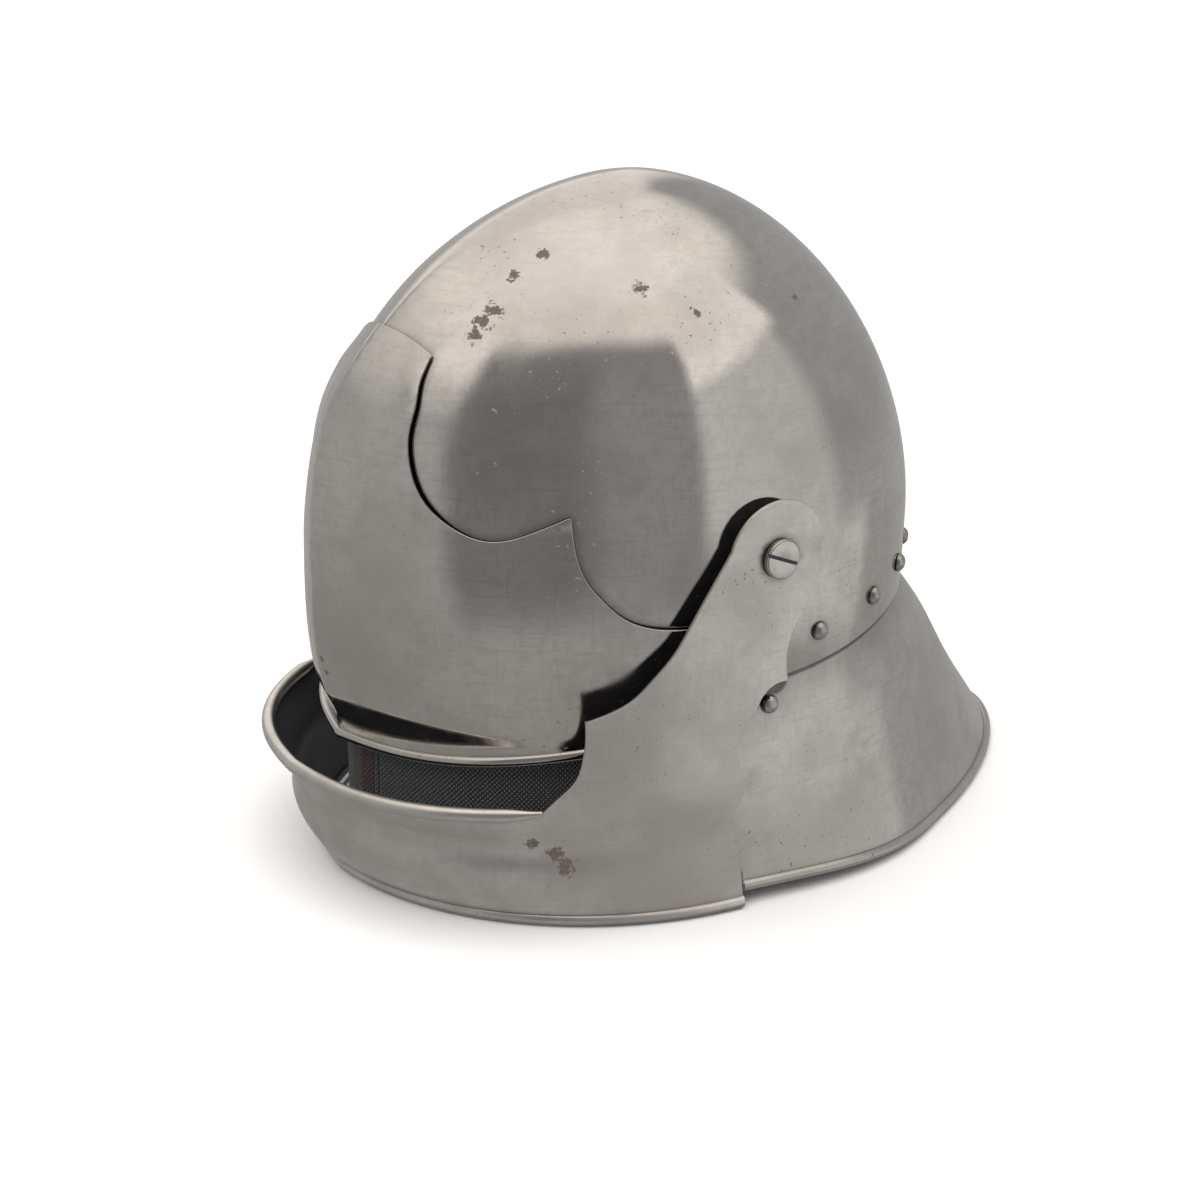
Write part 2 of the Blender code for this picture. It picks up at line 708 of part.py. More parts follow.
def build_guard(collection, tools, finish):
    length = PER_DEGREE * (180 - GUARD_FRONT_TURN)
    depth = GUARD_MAP_DEPTH
    top = -GUARD_TUCK / depth
    tail = [(0.0, drop * depth) for drop in (1, *reversed(GUARD_ROWS[1:]), 0, GUARD_ROWS[0], top)]
    turns = [turn for turn in TURNS if turn >= GUARD_FRONT_TURN]
    runs = [(turn - GUARD_FRONT_TURN) / (180 - GUARD_FRONT_TURN) for turn in turns]
    upper = [((1 - run) * length, top * depth) for run in reversed(runs)]
    front = [((1 - run) * length, drop * depth) for run, drop in GUARD_FRONT]
    start = run_at(GUARD_ROLL_START)
    rim_runs = np.linspace(start, 1, 24)
    front += [((1 - start) * length, GUARD_FRONT[-1][1] * depth)]
    seam = [((1 - run) * length, 0.0) for run in runs[1:-1]]
    grid = [((1 - run) * length, drop * depth) for run in runs for drop in GUARD_ROWS]
    foot = [front[-1], ((1 - start) * length, depth)]
    outline = tail + upper[1:-1]
    outline += joined([[upper[-1], front[0]], front[:-1], front[-2:], foot], EDGE_STEP)
    outline += [((1 - run) * length, depth) for run in rim_runs[1:-1]]

    def place(u, v):
        return guard_point(1 - u / length, v / depth) + PIVOT

    shape = filled(outline, grid, place, [seam])
    guard = mirrored_plate("neck_guard", shape, collection, finish, PLATE)
    half = [inner_middle(guard_point, run, 1.0, 0.001, 0.001) for run in reversed(rim_runs)]
    half[0].x = 0
    whole = [Vector((-p.x, p.y, p.z)) for p in reversed(half)] + half[1:]
    path = [Vector((p.x, p.y, guard_rim_point(1).z + (p.z - half[0].z))) + PIVOT for p in whole]
    boolean(guard, roll("guard_roll", path, GUARD_ROLL, tools), "UNION")
    return guard


def build_lining(collection, finish):
    face, hem = ([dome_flat(turn, height(level)) for turn, level in stretch] for stretch in LINING_EDGES)
    opening = smooth(face, LINING_STEP)
    crown = [(0.0, v) for _, v in smooth([face[-1], (0, 0), hem[0]], LINING_STEP)]
    outline = opening + crown[1:-1] + smooth(hem, LINING_STEP)
    outline += [(0.0, v) for _, v in smooth([hem[-1], face[0]], LINING_STEP)[1:-1]]
    outline = [(max(u, 0.0), v) for u, v in outline]
    shape = filled(outline, dome_grid(LINING_TURNS, LINING_LEVELS), dome_place(lining_point))
    return mirrored_plate("lining", shape, collection, finish, LINING_WALL)


def turned(name, profile, collection, finish, steps):
    """A turned piece along +Z from a profile that runs from the top of the axis down its outer side."""
    shape = bmesh.new()
    points = [shape.verts.new((r, 0, z)) for r, z in profile]
    for start, end in zip(points, points[1:]):
        shape.edges.new((start, end))
    obj = new_object(name, shape, collection, finish)
    screw = obj.modifiers.new("turn", "SCREW")
    screw.steps = steps
    screw.render_steps = steps
    screw.use_merge_vertices = True
    screw.merge_threshold = 0.00001
    return obj


def rod(name, start, end, radius, sides, tools):
    """A closed cylinder between two points, for cutting a hole."""
    shape = bmesh.new()
    along = end - start
    turn = along.to_track_quat("Z", "Y").to_matrix().to_4x4()
    bmesh.ops.create_cone(
        shape,
        cap_ends=True,
        segments=sides,
        radius1=radius,
        radius2=radius,
        depth=along.length,
        matrix=Matrix.Translation((start + end) / 2) @ turn,
    )
    return tool(new_object(name, shape, tools))


def outward_at(surface, a, b, step_a, step_b):
    """A surface's point and its outward direction."""
    along = surface(a + step_a, b) - surface(a - step_a, b)
    down = surface(a, b + step_b) - surface(a, b - step_b)
    normal = along.cross(down).normalized()
    point = surface(a, b)
    if normal.dot(point) < 0:
        normal.negate()
    return point + PIVOT, normal


def place_turned(obj, point, direction):
    obj.matrix_world = Matrix.Translation(point) @ direction.to_track_quat("Z", "Y").to_matrix().to_4x4()


def build_rivet(name, point, direction, grip, collection, tools, finish, plates):
    """A domed rivet through one or two plates, its hole cut in each of them."""
    dome = [
        (RIVET_HEAD * math.sin(angle), CLEARANCE + RIVET_RISE * math.cos(angle))
        for angle in np.radians((0, 45, 90))
    ]
    tail = -grip - CLEARANCE
    burr = RIVET_SHANK * 1.5
    profile = [(0.0, dome[0][1])] + dome[1:] + [
        (RIVET_SHANK, CLEARANCE),
        (RIVET_SHANK, tail),
        (burr, tail),
        (0.0, tail - RIVET_SHANK * 0.5),
    ]
    rivet = turned(name, profile, collection, finish, 8)
    place_turned(rivet, point, direction)
    reach = direction * (grip + 4 * CLEARANCE)
    hole = rod(name + "_hole", point - reach, point + reach * 0.5, RIVET_SHANK + CLEARANCE, 8, tools)
    for plate in plates:
        boolean(plate, hole, "DIFFERENCE")
    return rivet


def build_rivets(collection, tools, finish, skull, guard):
    for number, (turn, level) in enumerate(SEAM_RIVETS, 1):
        point, direction = outward_at(head_point, turn, height(level), 0.5, 0.0005)
        grip = PLATE * 2 + TUCK_GAP + RIVET_SLACK
        if turn == 180:
            build_rivet("seam_rivet_back", point, direction, grip, collection, tools, finish, (skull, guard))
            continue
        for side, sign in (("left", 1), ("right", -1)):
            build_rivet(
                f"seam_rivet_{side}_{number}",
                Vector((sign * point.x, point.y, point.z)),
                Vector((sign * direction.x, direction.y, direction.z)),
                grip,
                collection,
                tools,
                finish,
                (skull, guard),
            )


def guard_at(y, z):
    """The run and drop at which the guard passes a place in side view."""
    run, drop = GUARD_START
    for _ in range(GUARD_TRIES):
        point = guard_point(run, drop)
        run += (y - point.y) / GUARD_REACH
        drop += (point.z - z) / GUARD_MAP_DEPTH
    return run, drop


def build_ear_rivets(collection, tools, finish, guard):
    y, level = EAR_RIVET
    run, drop = guard_at(y, height(level))
    point, direction = outward_at(guard_point, run, drop, 0.002, 0.005)
    for side, sign in (("left", 1), ("right", -1)):
        build_rivet(
            "ear_rivet_" + side,
            Vector((sign * point.x, point.y, point.z)),
            Vector((sign * direction.x, direction.y, direction.z)),
            PLATE + RIVET_SLACK,
            collection,
            tools,
            finish,
            (guard,),
        )


def build_pivots(collection, tools, finish, plates):
    """A slotted screw through bevor, visor and skull on each side, with a nut inside the skull."""
    drill = rod(
        "pivot_drill",
        PIVOT - Vector((ARM_HALF_WIDTH * 1.2, 0, 0)),
        PIVOT + Vector((ARM_HALF_WIDTH * 1.2, 0, 0)),
        SCREW_SHANK + CLEARANCE,
        16,
        tools,
    )
    for plate in plates:
        boolean(plate, drill, "DIFFERENCE")
    seat = ARM_HALF_WIDTH + CLEARANCE
    nut_top = SKULL_HALF_WIDTH - PLATE - NUT_SEAT
    end = nut_top - NUT_THICKNESS - SCREW_SHANK * 0.2
    round_off = SCREW_HEAD_RISE * 0.25
    profile = [
        (0.0, SCREW_HEAD_RISE),
        (SCREW_HEAD - round_off, SCREW_HEAD_RISE),
        (SCREW_HEAD, SCREW_HEAD_RISE - round_off),
        (SCREW_HEAD, 0.0),
        (SCREW_SHANK, 0.0),
        (SCREW_SHANK, end - seat),
        (0.0, end - seat),
    ]
    for side, sign in (("left", 1), ("right", -1)):
        outward = Vector((sign, 0, 0))
        screw = turned("pivot_screw_" + side, profile, collection, finish, 24)
        place_turned(screw, PIVOT + outward * seat, outward)
        shape = bmesh.new()
        bmesh.ops.create_cube(shape, size=1)
        slot = tool(new_object(f"slot_{side}", shape, tools))
        slot.scale = (SCREW_SLOT_DEPTH * 2, SCREW_HEAD * 3, SCREW_SLOT_WIDTH)
        slot.rotation_euler = (math.radians(SCREW_SLOT_TURN), 0, 0)
        slot.location = PIVOT + outward * (seat + SCREW_HEAD_RISE)
        boolean(screw, slot, "DIFFERENCE")
        shape = bmesh.new()
        radius = NUT_ACROSS / math.sqrt(3)
        bmesh.ops.create_cone(
            shape, cap_ends=True, segments=6, radius1=radius, radius2=radius, depth=NUT_THICKNESS
        )
        nut = new_object("pivot_nut_" + side, shape, collection, finish)
        place_turned(nut, PIVOT + outward * (nut_top - NUT_THICKNESS / 2), outward)
        bpy.context.view_layer.update()
        boolean(nut, drill, "DIFFERENCE")


def main():
    for obj in list(bpy.data.objects):
        bpy.data.objects.remove(obj)
    helmet = bpy.data.collections.new("sallet_helmet")
    tools = bpy.data.collections.new("cutters")
    bpy.context.scene.collection.children.link(helmet)
    bpy.context.scene.collection.children.link(tools)
    tools.hide_render = True
    steel = material("polished_steel", (0.58, 0.56, 0.53), 0.22, 1.0)
    bright = material("bright_steel", (0.68, 0.68, 0.66), 0.3, 1.0)
    cloth = material("dark_cloth", (0.05, 0.055, 0.06), 0.95, 0.0)
    skull = build_skull(helmet, steel)
    visor = build_visor(helmet, tools, steel)
    bevor = build_bevor(helmet, tools, steel)
    guard = build_guard(helmet, tools, steel)
    build_lining(helmet, cloth)
    build_rivets(helmet, tools, steel, skull, guard)
    build_ear_rivets(helmet, tools, steel, guard)
    build_pivots(helmet, tools, bright, (skull, visor, bevor))


main()
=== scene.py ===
"""Dresses the sallet helmet in polished steel and cloth, in metres, +Z up, front towards -Y.

The plates are made again from the part's own formulas on a finer mesh. Each one rides the body that
its solid belongs to. Light comes from a studio sky with soft panels, so the steel has something to show.
"""

import json
import math

import bmesh
import bpy
import numpy as np
from mathutils import Matrix, Vector, geometry


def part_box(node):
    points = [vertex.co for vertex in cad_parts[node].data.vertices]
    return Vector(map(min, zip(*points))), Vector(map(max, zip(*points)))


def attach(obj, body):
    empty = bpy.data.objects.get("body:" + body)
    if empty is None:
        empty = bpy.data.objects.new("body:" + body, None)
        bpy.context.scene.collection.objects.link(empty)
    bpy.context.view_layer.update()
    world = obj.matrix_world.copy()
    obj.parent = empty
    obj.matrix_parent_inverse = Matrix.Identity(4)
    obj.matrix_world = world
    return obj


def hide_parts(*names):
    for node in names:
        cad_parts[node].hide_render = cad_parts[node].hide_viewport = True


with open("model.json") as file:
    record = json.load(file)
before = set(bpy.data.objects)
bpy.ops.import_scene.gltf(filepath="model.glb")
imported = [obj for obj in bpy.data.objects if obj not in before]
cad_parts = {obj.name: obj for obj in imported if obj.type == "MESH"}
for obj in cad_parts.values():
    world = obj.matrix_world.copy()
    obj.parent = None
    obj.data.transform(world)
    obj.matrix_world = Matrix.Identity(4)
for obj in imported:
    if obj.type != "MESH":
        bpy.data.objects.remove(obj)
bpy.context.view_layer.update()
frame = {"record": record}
PIVOT = np.array(frame["record"]["behaviour"]["joints"][0]["pos_m"])

# Sizes of the part
PIVOT_HEIGHT = float(PIVOT[2])
DOME_TOP = 0.123
DOME_DROP = 0.008
DOME_CENTRE = 0.0048
DOME_POWER = 1.9
SKULL_REACH = 0.1426
SKULL_BACK = 0.114
SKULL_HALF_WIDTH = 0.101
BACK_POWER = 2.13
RIDGE_SLOPE = 0.238
RIDGE_FADE = 0.040
RIDGE_SIDE = 0.70
BLEND_START = 60
BLEND_END = 120
PLATE = 0.0014
VISOR_GAP = 0.0009
ARM_GAP = 0.0006
TUCK_GAP = 0.0006
BEVOR_REACH = 0.1445
BEVOR_RIDGE_SLOPE = 0.08
BEVOR_BACK = 0.150
VISOR_LOBE = 0.0150
BEVOR_LOBE = 0.0212
VISOR_ROLL = 0.0022
BEVOR_TOP_ROLL = 0.0026
BEVOR_FOOT_ROLL = 0.0025
GUARD_ROLL = 0.0023
GUARD_HALF_WIDTH = 0.1085
GUARD_REACH = 0.2018
GUARD_CENTRE = 0.035
GUARD_FRONT_REACH = 0.142
GUARD_FRONT_POWER = 2.2
GUARD_RIM_POWER = 1.50
GUARD_RIM_LIFT = 0.0050
GUARD_LEVEL_RUN = 0.120
RIVET_HEAD = 0.0036
RIVET_RISE = 0.0026
RIVET_SHANK = 0.0016
SCREW_HEAD = 0.0074
SCREW_HEAD_RISE = 0.0024
SCREW_SLOT_WIDTH = 0.0013
SCREW_SLOT_DEPTH = 0.0010
SCREW_SLOT_TURN = -22
CLEARANCE = 0.0003
LINING_WALL = 0.0025
LINING_CROWN_GAP = 0.0010
LINING_SIDE_GAP = 0.0046
LINING_THROAT_WIDTH = 0.0875
LINING_THROAT_REACH = 0.115
DOME_RISE = DOME_TOP + DOME_DROP
VISOR_STAND_OFF = PLATE + VISOR_GAP
ARM_HALF_WIDTH = SKULL_HALF_WIDTH + VISOR_STAND_OFF + ARM_GAP + PLATE
GUARD_INSET = PLATE + TUCK_GAP

# How fine the meshes are
MESH_STEP = 0.0032
OUTLINE_STEP = 0.0013
CLEAR_SHARE = 0.45
PER_DEGREE = 0.0021
DOME_ARC = 0.118
EDGE_ROUND = 0.00028
LINING_EDGE_ROUND = 0.0007
ROLL_SIDES = 20
LIP_LIFT = 0.0014
LIP_RUN = 0.0065
LIP_FADE_BELOW = (0.07, 0.17)
LIP_FADE_ABOVE = (0.46, 0.56)
ROLL_TAPER = 0.014
ROLL_TAPER_SHARE = 0.55
NORMAL_STEP = 0.0002

HEAD_FORM = (
    ("level", "forward", "sideways", "power"),
    (-0.577, 0.889, 0.952, 2.10),
    (-0.511, 0.894, 0.957, 2.00),
    (-0.467, 0.915, 0.967, 1.95),
    (-0.394, 0.936, 0.977, 1.90),
    (-0.292, 0.949, 0.990, 1.85),
    (-0.117, 0.953, 1.000, 1.82),
    (0.000, 0.956, 1.000, 1.77),
    (0.220, 0.976, 1.000, 1.70),
    (0.390, 1.000, 1.000, 1.665),
    (0.540, 1.000, 1.000, 1.67),
    (0.700, 1.000, 1.000, 1.74),
    (0.850, 1.000, 1.000, 1.76),
    (1.000, 1.000, 1.000, 1.757),
)
BEVOR_FORM = (
    ("level", "forward", "sideways", "power"),
    (-1.000, 0.837, 1.011, 1.95),
    (-0.912, 0.910, 1.011, 2.00),
    (-0.818, 0.945, 1.011, 2.00),
    (-0.752, 0.948, 1.011, 1.98),
    (-0.701, 0.969, 1.011, 2.10),
    (-0.642, 0.998, 1.012, 2.22),
    (-0.511, 1.010, 1.008, 2.20),
    (-0.350, 1.017, 1.005, 2.20),
    (0.000, 1.030, 1.000, 2.20),
    (0.180, 0.969, 1.000, 2.20),
)
GUARD_FLARE = (
    ("drop", "spread"),
    (0.00, 0.00),
    (0.05, 0.080),
    (0.12, 0.175),
    (0.23, 0.305),
    (0.44, 0.500),
    (0.65, 0.680),
    (0.85, 0.865),
    (1.00, 1.000),
)
LINING_FALL = (
    ("level", "throat"),
    (-0.95, 1.00),
    (-0.60, 0.97),
    (-0.35, 0.60),
    (-0.10, 0.12),
    (0.20, 0.00),
    (1.00, 0.00),
)

# Outlines as smooth stretches of (turn, level): 0 in front, 90 at the pivot, 180 behind
SKULL_SEAM = (
    (180, -0.277), (160, -0.277), (141, -0.279), (131, -0.288), (120, -0.309), (108, -0.336), (96, -0.355)
)
SKULL_EDGES = (
    SKULL_SEAM + ((86, -0.358), (78, -0.345)),
    ((78, -0.345), (71, -0.325), (64, -0.27), (58.5, -0.185), (53, -0.085), (46, -0.02), (38, -0.015),
     (29, 0.03), (20, 0.09), (10, 0.135), (0, 0.15)),
)
VISOR_EDGES = (
    ((0, 0.618), (11.5, 0.593), (18.5, 0.561)),
    ((18.5, 0.561), (18.9, 0.50), (20.2, 0.44), (20.7, 0.36), (21.7, 0.29), (24, 0.21), (28, 0.142),
     (32.5, 0.098), (37, 0.076), (41, 0.077), (46, 0.102), (53, 0.152)),
    ((53, 0.152), (53.6, 0.07), (55.5, -0.02), (58.5, -0.078), (63, -0.138), (69, -0.168), (75, -0.172)),
)
VISOR_ARM_TOP = ((75, -0.172), (79.5, -0.125), (82, -0.02))
VISOR_ARM_REAR = ((91, -0.136), (82, -0.22), (73, -0.36), (70.0, -0.467))
VISOR_ARM_START = 148
VISOR_ARM_END = -12
BEVOR_EDGES = (
    ((53.2, -0.610), (56.3, -0.580), (58.3, -0.545), (59.5, -0.490), (60, -0.422), (60, -0.379)),
    ((60, -0.379), (63.5, -0.360), (67, -0.330), (70.5, -0.274), (73.2, -0.223), (76, -0.145),
     (79.6, -0.036)),
)
BEVOR_LOBE_START = 166
BEVOR_LOBE_END = -22
BEVOR_REAR = (
    ((0.0172, -0.110), (0.0121, -0.161), (0.0073, -0.217), (0.0050, -0.290), (0.0064, -0.365)),
    ((-0.0090, -0.629), (-0.0140, -0.668), (-0.0165, -0.728), (-0.0150, -0.795), (-0.0115, -0.930),
     (-0.0105, -0.981)),
)
EAR_RIVET = (0.0036, -0.436)
EAR_NOTCH = 0.0115
EAR_NOTCH_START = 78
EAR_NOTCH_END = 148
LOWER_NOTCH_CENTRE = (0.0010, -0.526)
LOWER_NOTCH = 0.0172
LOWER_NOTCH_START = 122
LOWER_NOTCH_END = 234
SEAM_RIVETS = (
    (100.5, -0.255), (117.5, -0.217), (131.5, -0.180), (147.5, -0.172), (164.0, -0.170), (180, -0.170)
)
LINING_EDGES = (
    ((0, -0.590), (25, -0.585), (50, -0.545), (64, -0.40), (67, -0.20), (64, -0.02), (54, 0.12), (30, 0.23),
     (0, 0.255)),
    ((180, -0.50), (150, -0.50), (115, -0.56), (88, -0.78), (60, -0.90), (30, -0.925), (0, -0.93)),
)
VISOR_RIM_END = 70.0
VISOR_RIM_RISE = 0.155
BEVOR_RIM_END = 53.2
BEVOR_RIM_LEVEL = -0.645
BEVOR_RIM_RISE = 0.040
GUARD_FRONT_TURN = 78
GUARD_RIM_FRONT_TURN = 66
GUARD_TUCK = 0.028
GUARD_MAP_DEPTH = 0.092
GUARD_FORM_FLOOR = -0.39
GUARD_FRONT = ((0.00, -0.30), (0.00, 0.10), (0.01, 0.50), (0.03, 0.925))
GUARD_ROLL_START = -0.0090


def height(level):
    """Metres above the pivot axis for a level share."""
    level = np.asarray(level, float)
    return level * np.where(level > 0, DOME_TOP, PIVOT_HEIGHT)


def spline(knots, values):
    """A natural cubic through the knots, as a function of one number or of many."""
    x = np.array(knots, float)
    y = np.array(values, float)
    gaps = np.diff(x)
    matrix = np.eye(len(x))
    right = np.zeros(len(x))
    for i in range(1, len(x) - 1):
        matrix[i, i - 1 : i + 2] = gaps[i - 1], 2 * (gaps[i - 1] + gaps[i]), gaps[i]
        right[i] = 3 * ((y[i + 1] - y[i]) / gaps[i] - (y[i] - y[i - 1]) / gaps[i - 1])
    bend = np.linalg.solve(matrix, right)

    def value(at):
        at = np.clip(np.asarray(at, float), x[0], x[-1])
        i = np.clip(np.searchsorted(x, at, "right") - 1, 0, len(gaps) - 1)
        t = at - x[i]
        slope = (y[i + 1] - y[i]) / gaps[i] - gaps[i] * (2 * bend[i] + bend[i + 1]) / 3
        return y[i] + t * (slope + t * (bend[i] + t * (bend[i + 1] - bend[i]) / (3 * gaps[i])))

    return value


def column(table, name, scale=lambda level: level):
    rows = table[1:]
    return spline([float(scale(row[0])) for row in rows], [row[table[0].index(name)] for row in rows])


head_forward = column(HEAD_FORM, "forward", height)
head_sideways = column(HEAD_FORM, "sideways", height)
head_power = column(HEAD_FORM, "power", height)
bevor_forward = column(BEVOR_FORM, "forward", height)
bevor_sideways = column(BEVOR_FORM, "sideways", height)
bevor_power = column(BEVOR_FORM, "power", height)
guard_spread = column(GUARD_FLARE, "spread")
lining_fall = column(LINING_FALL, "throat", height)
seam_turns, seam_levels = zip(*reversed(SKULL_SEAM))
seam_height = spline(seam_turns, [float(height(level)) for level in seam_levels])


def eased(value, start, end):
    share = np.clip((np.asarray(value, float) - start) / (end - start), 0, 1)
    return share * share * (3 - 2 * share)


def dome_share(z):
    up = np.clip((z + DOME_DROP) / DOME_RISE, 0, 1)
    return np.clip(1 - up**DOME_POWER, 0, None) ** (1 / DOME_POWER)


def plan_point(turn, z, centre, front, side, back, front_power, back_power, slope):
    """Points of a rounded plan section, with the soft ridge down the middle in front."""
    angle = np.radians(turn)
    ahead = np.cos(angle)
    across = np.sin(angle)
    power = front_power + (back_power - front_power) * eased(np.abs(turn), BLEND_START, BLEND_END)
    reach = (np.abs(ahead) ** power + np.abs(across) ** power) ** (-1 / power)
    x = side * across * reach
    y = centre - np.where(ahead > 0, front, back) * ahead * reach
    y = y + slope * np.abs(x) * np.exp(-np.abs(x) / RIDGE_FADE) * eased(ahead, 0, RIDGE_SIDE)
    return np.stack(np.broadcast_arrays(x, y, z + 0 * x), -1)


def head_point(turn, z, out=0.0):
    share = dome_share(z)
    return plan_point(
        turn,
        z,
        DOME_CENTRE,
        SKULL_REACH * share * head_forward(z) + out,
        SKULL_HALF_WIDTH * share * head_sideways(z) + out,
        SKULL_BACK * share + out,
        head_power(z),
        BACK_POWER,
        RIDGE_SLOPE,
    )


def visor_lift(turn, z):
    """How far the visor's front scallop stands away from the skull, by the distance to its edge."""
    spots = np.stack(np.broadcast_arrays(np.abs(turn) * PER_DEGREE, z), -1).astype(float)
    edge = np.array(smooth(flat(VISOR_EDGES[1]), MESH_STEP))
    away = np.linalg.norm(spots[..., None, :] - edge, axis=-1).min(-1)
    start, end = (float(height(level)) for level in LIP_FADE_BELOW)
    window = eased(z, start, end)
    start, end = (float(height(level)) for level in LIP_FADE_ABOVE)
    return LIP_LIFT * np.exp(-((away / LIP_RUN) ** 2)) * window * (1 - eased(z, start, end))


def visor_point(turn, z):
    return head_point(turn, z, VISOR_STAND_OFF + visor_lift(turn, z))


def bevor_point(turn, z):
    power = bevor_power(z)
    front = BEVOR_REACH * bevor_forward(z)
    side = ARM_HALF_WIDTH * bevor_sideways(z)
    return plan_point(turn, z, 0, front, side, BEVOR_BACK, power, power, BEVOR_RIDGE_SLOPE)


def lining_point(turn, z):
    rise = np.clip(z + DOME_DROP, 0, None) / DOME_RISE
    inset = PLATE + LINING_CROWN_GAP + (LINING_SIDE_GAP - LINING_CROWN_GAP) * (1 - rise**4)
    share = dome_share(z)
    throat = lining_fall(z)
    front = (SKULL_REACH * head_forward(z) - inset) * (1 - throat)
    front = front + (LINING_THROAT_REACH + DOME_CENTRE) * throat
    side = (SKULL_HALF_WIDTH - inset) * (1 - throat) + LINING_THROAT_WIDTH * throat
    sunk = np.where(z > 0, z - inset, z - inset * share)
    return plan_point(
        turn,
        np.where(share < 1, sunk, z),
        DOME_CENTRE,
        np.clip(front, 0, None) * share,
        side * share,
        (SKULL_BACK - inset) * share,
        head_power(z),
        BACK_POWER,
        RIDGE_SLOPE,
    )


def guard_rim_point(run):
    turn = 180 - (1 - np.asarray(run, float)) * (180 - GUARD_RIM_FRONT_TURN)
    reaches = (GUARD_FRONT_REACH, GUARD_HALF_WIDTH, GUARD_REACH - GUARD_CENTRE)
    point = plan_point(turn, 0, GUARD_CENTRE, *reaches, GUARD_FRONT_POWER, GUARD_RIM_POWER, 0)
    lift = GUARD_RIM_LIFT * (1 - eased(point[..., 1], 0, GUARD_LEVEL_RUN))
    point[..., 2] = -PIVOT_HEIGHT + GUARD_ROLL + lift
    return point


def guard_point(run, drop):
    """The neck guard: inside the skull above the seam, and flaring to the rim below it."""
    run = np.asarray(run, float)
    turn = 180 - (1 - run) * (180 - GUARD_FRONT_TURN)
    rim = guard_rim_point(run)
    top = seam_height(180 - np.abs(180 - turn))
    z = top + (rim[..., 2] - top) * drop
    settle = top - float(height(GUARD_FORM_FLOOR))
    followed = np.where(z > top, z, top - settle * (1 - np.exp((np.minimum(z, top) - top) / settle)))
    within = head_point(turn, followed, -GUARD_INSET)
    seam = head_point(turn, top, -GUARD_INSET)
    spread = np.where(np.asarray(drop) > 0, guard_spread(drop), 0)
    x = within[..., 0] + (rim[..., 0] - seam[..., 0]) * spread
    y = within[..., 1] + (rim[..., 1] - seam[..., 1]) * spread
    return np.stack(np.broadcast_arrays(x, y, z), -1)


def smooth(points, step):
    """Points about a step apart along a smooth line through the given ones; two stay a straight line."""
    at = np.concatenate([[0], np.cumsum([math.dist(a, b) for a, b in zip(points, points[1:])])])
    count = max(int(round(at[-1] / step)), 1)
    spread = np.linspace(0, at[-1], count + 1)
    lines = [spline(at, [point[i] for point in points])(spread) for i in (0, 1)]
    return list(zip(*(line.tolist() for line in lines)))


def joined(stretches, step=OUTLINE_STEP):
    """Stretches end to end as one open outline, with a corner where two meet."""
    outline = []
    for stretch in stretches:
        points = smooth(stretch, step)
        outline += points[1:] if outline and math.dist(outline[-1], points[0]) < step / 20 else points
    return outline


def keep_inside(edge, spots, margin):
    """Which spots lie inside a closed outline and clear of its edges."""
    found = np.zeros(len(spots), bool)
    clear = np.full(len(spots), np.inf)
    x, y = spots.T
    for (x0, y0), (x1, y1) in zip(edge, np.roll(edge, -1, 0)):
        if y0 != y1:
            crosses = ((y0 > y) != (y1 > y)) & (x < x0 + (y - y0) * (x1 - x0) / (y1 - y0))
            found ^= crosses
        along = np.array((x1 - x0, y1 - y0))
        share = np.clip(((spots - (x0, y0)) @ along) / max(along @ along, 1e-18), 0, 1)
        away = spots - (x0, y0) - share[:, None] * along
        clear = np.minimum(clear, (away * away).sum(1))
    return found & (clear > margin * margin)


def filled(outline, step, creases=()):
    """Flat points and faces of an outline, on a grid of even triangles."""
    edge = np.array(outline)
    low = edge.min(0)
    high = edge.max(0)
    rows = np.arange(low[1], high[1], step * math.sqrt(3) / 2)
    columns = np.arange(low[0], high[0] + step, step)
    spots = np.array([(x + (step / 2 if i % 2 else 0), y) for i, y in enumerate(rows) for x in columns])
    spots = spots[keep_inside(edge, spots, step * CLEAR_SHARE)]
    points = [Vector(point) for point in edge]
    edges = [(i, (i + 1) % len(edge)) for i in range(len(edge))]
    for crease in creases:
        edges += [(len(points) + i, len(points) + i + 1) for i in range(len(crease) - 1)]
        points += [Vector(point) for point in crease]
    points += [Vector(spot) for spot in spots]
    flat_points, _, faces, *_ = geometry.delaunay_2d_cdt(points, edges, [], 1, 1e-7)
    return np.array([tuple(point) for point in flat_points]), np.array(faces)


def unit(vectors):
    return vectors / np.maximum(np.linalg.norm(vectors, axis=-1, keepdims=True), 1e-15)


def surface_normals(place, flat_points):
    """Outward normals, from small steps along the two flat directions."""
    u, v = flat_points.T
    along = place(u + NORMAL_STEP, v) - place(u - NORMAL_STEP, v)
    down = place(u, v + NORMAL_STEP) - place(u, v - NORMAL_STEP)
    normals = unit(np.cross(along, down))
    return normals * np.sign((normals * (place(u, v) - PIVOT)).sum())


def mesh_object(name, parts):
    """One smooth object from parts of places, normals and faces."""
    faces = []
    sides = []
    count = 0
    for places, _, part_faces, part_sides in parts:
        faces += [[i + count for i in face] for face in part_faces]
        sides += part_sides
        count += len(places)
    mesh = bpy.data.meshes.new(name)
    mesh.from_pydata(np.concatenate([part[0] for part in parts]).tolist(), [], faces)
    mesh.shade_smooth()
    mesh.polygons.foreach_set("material_index", sides)
    mesh.normals_split_custom_set_from_vertices(np.concatenate([part[1] for part in parts]).tolist())
    obj = bpy.data.objects.new(name, mesh)
    bpy.context.scene.collection.objects.link(obj)
    return obj


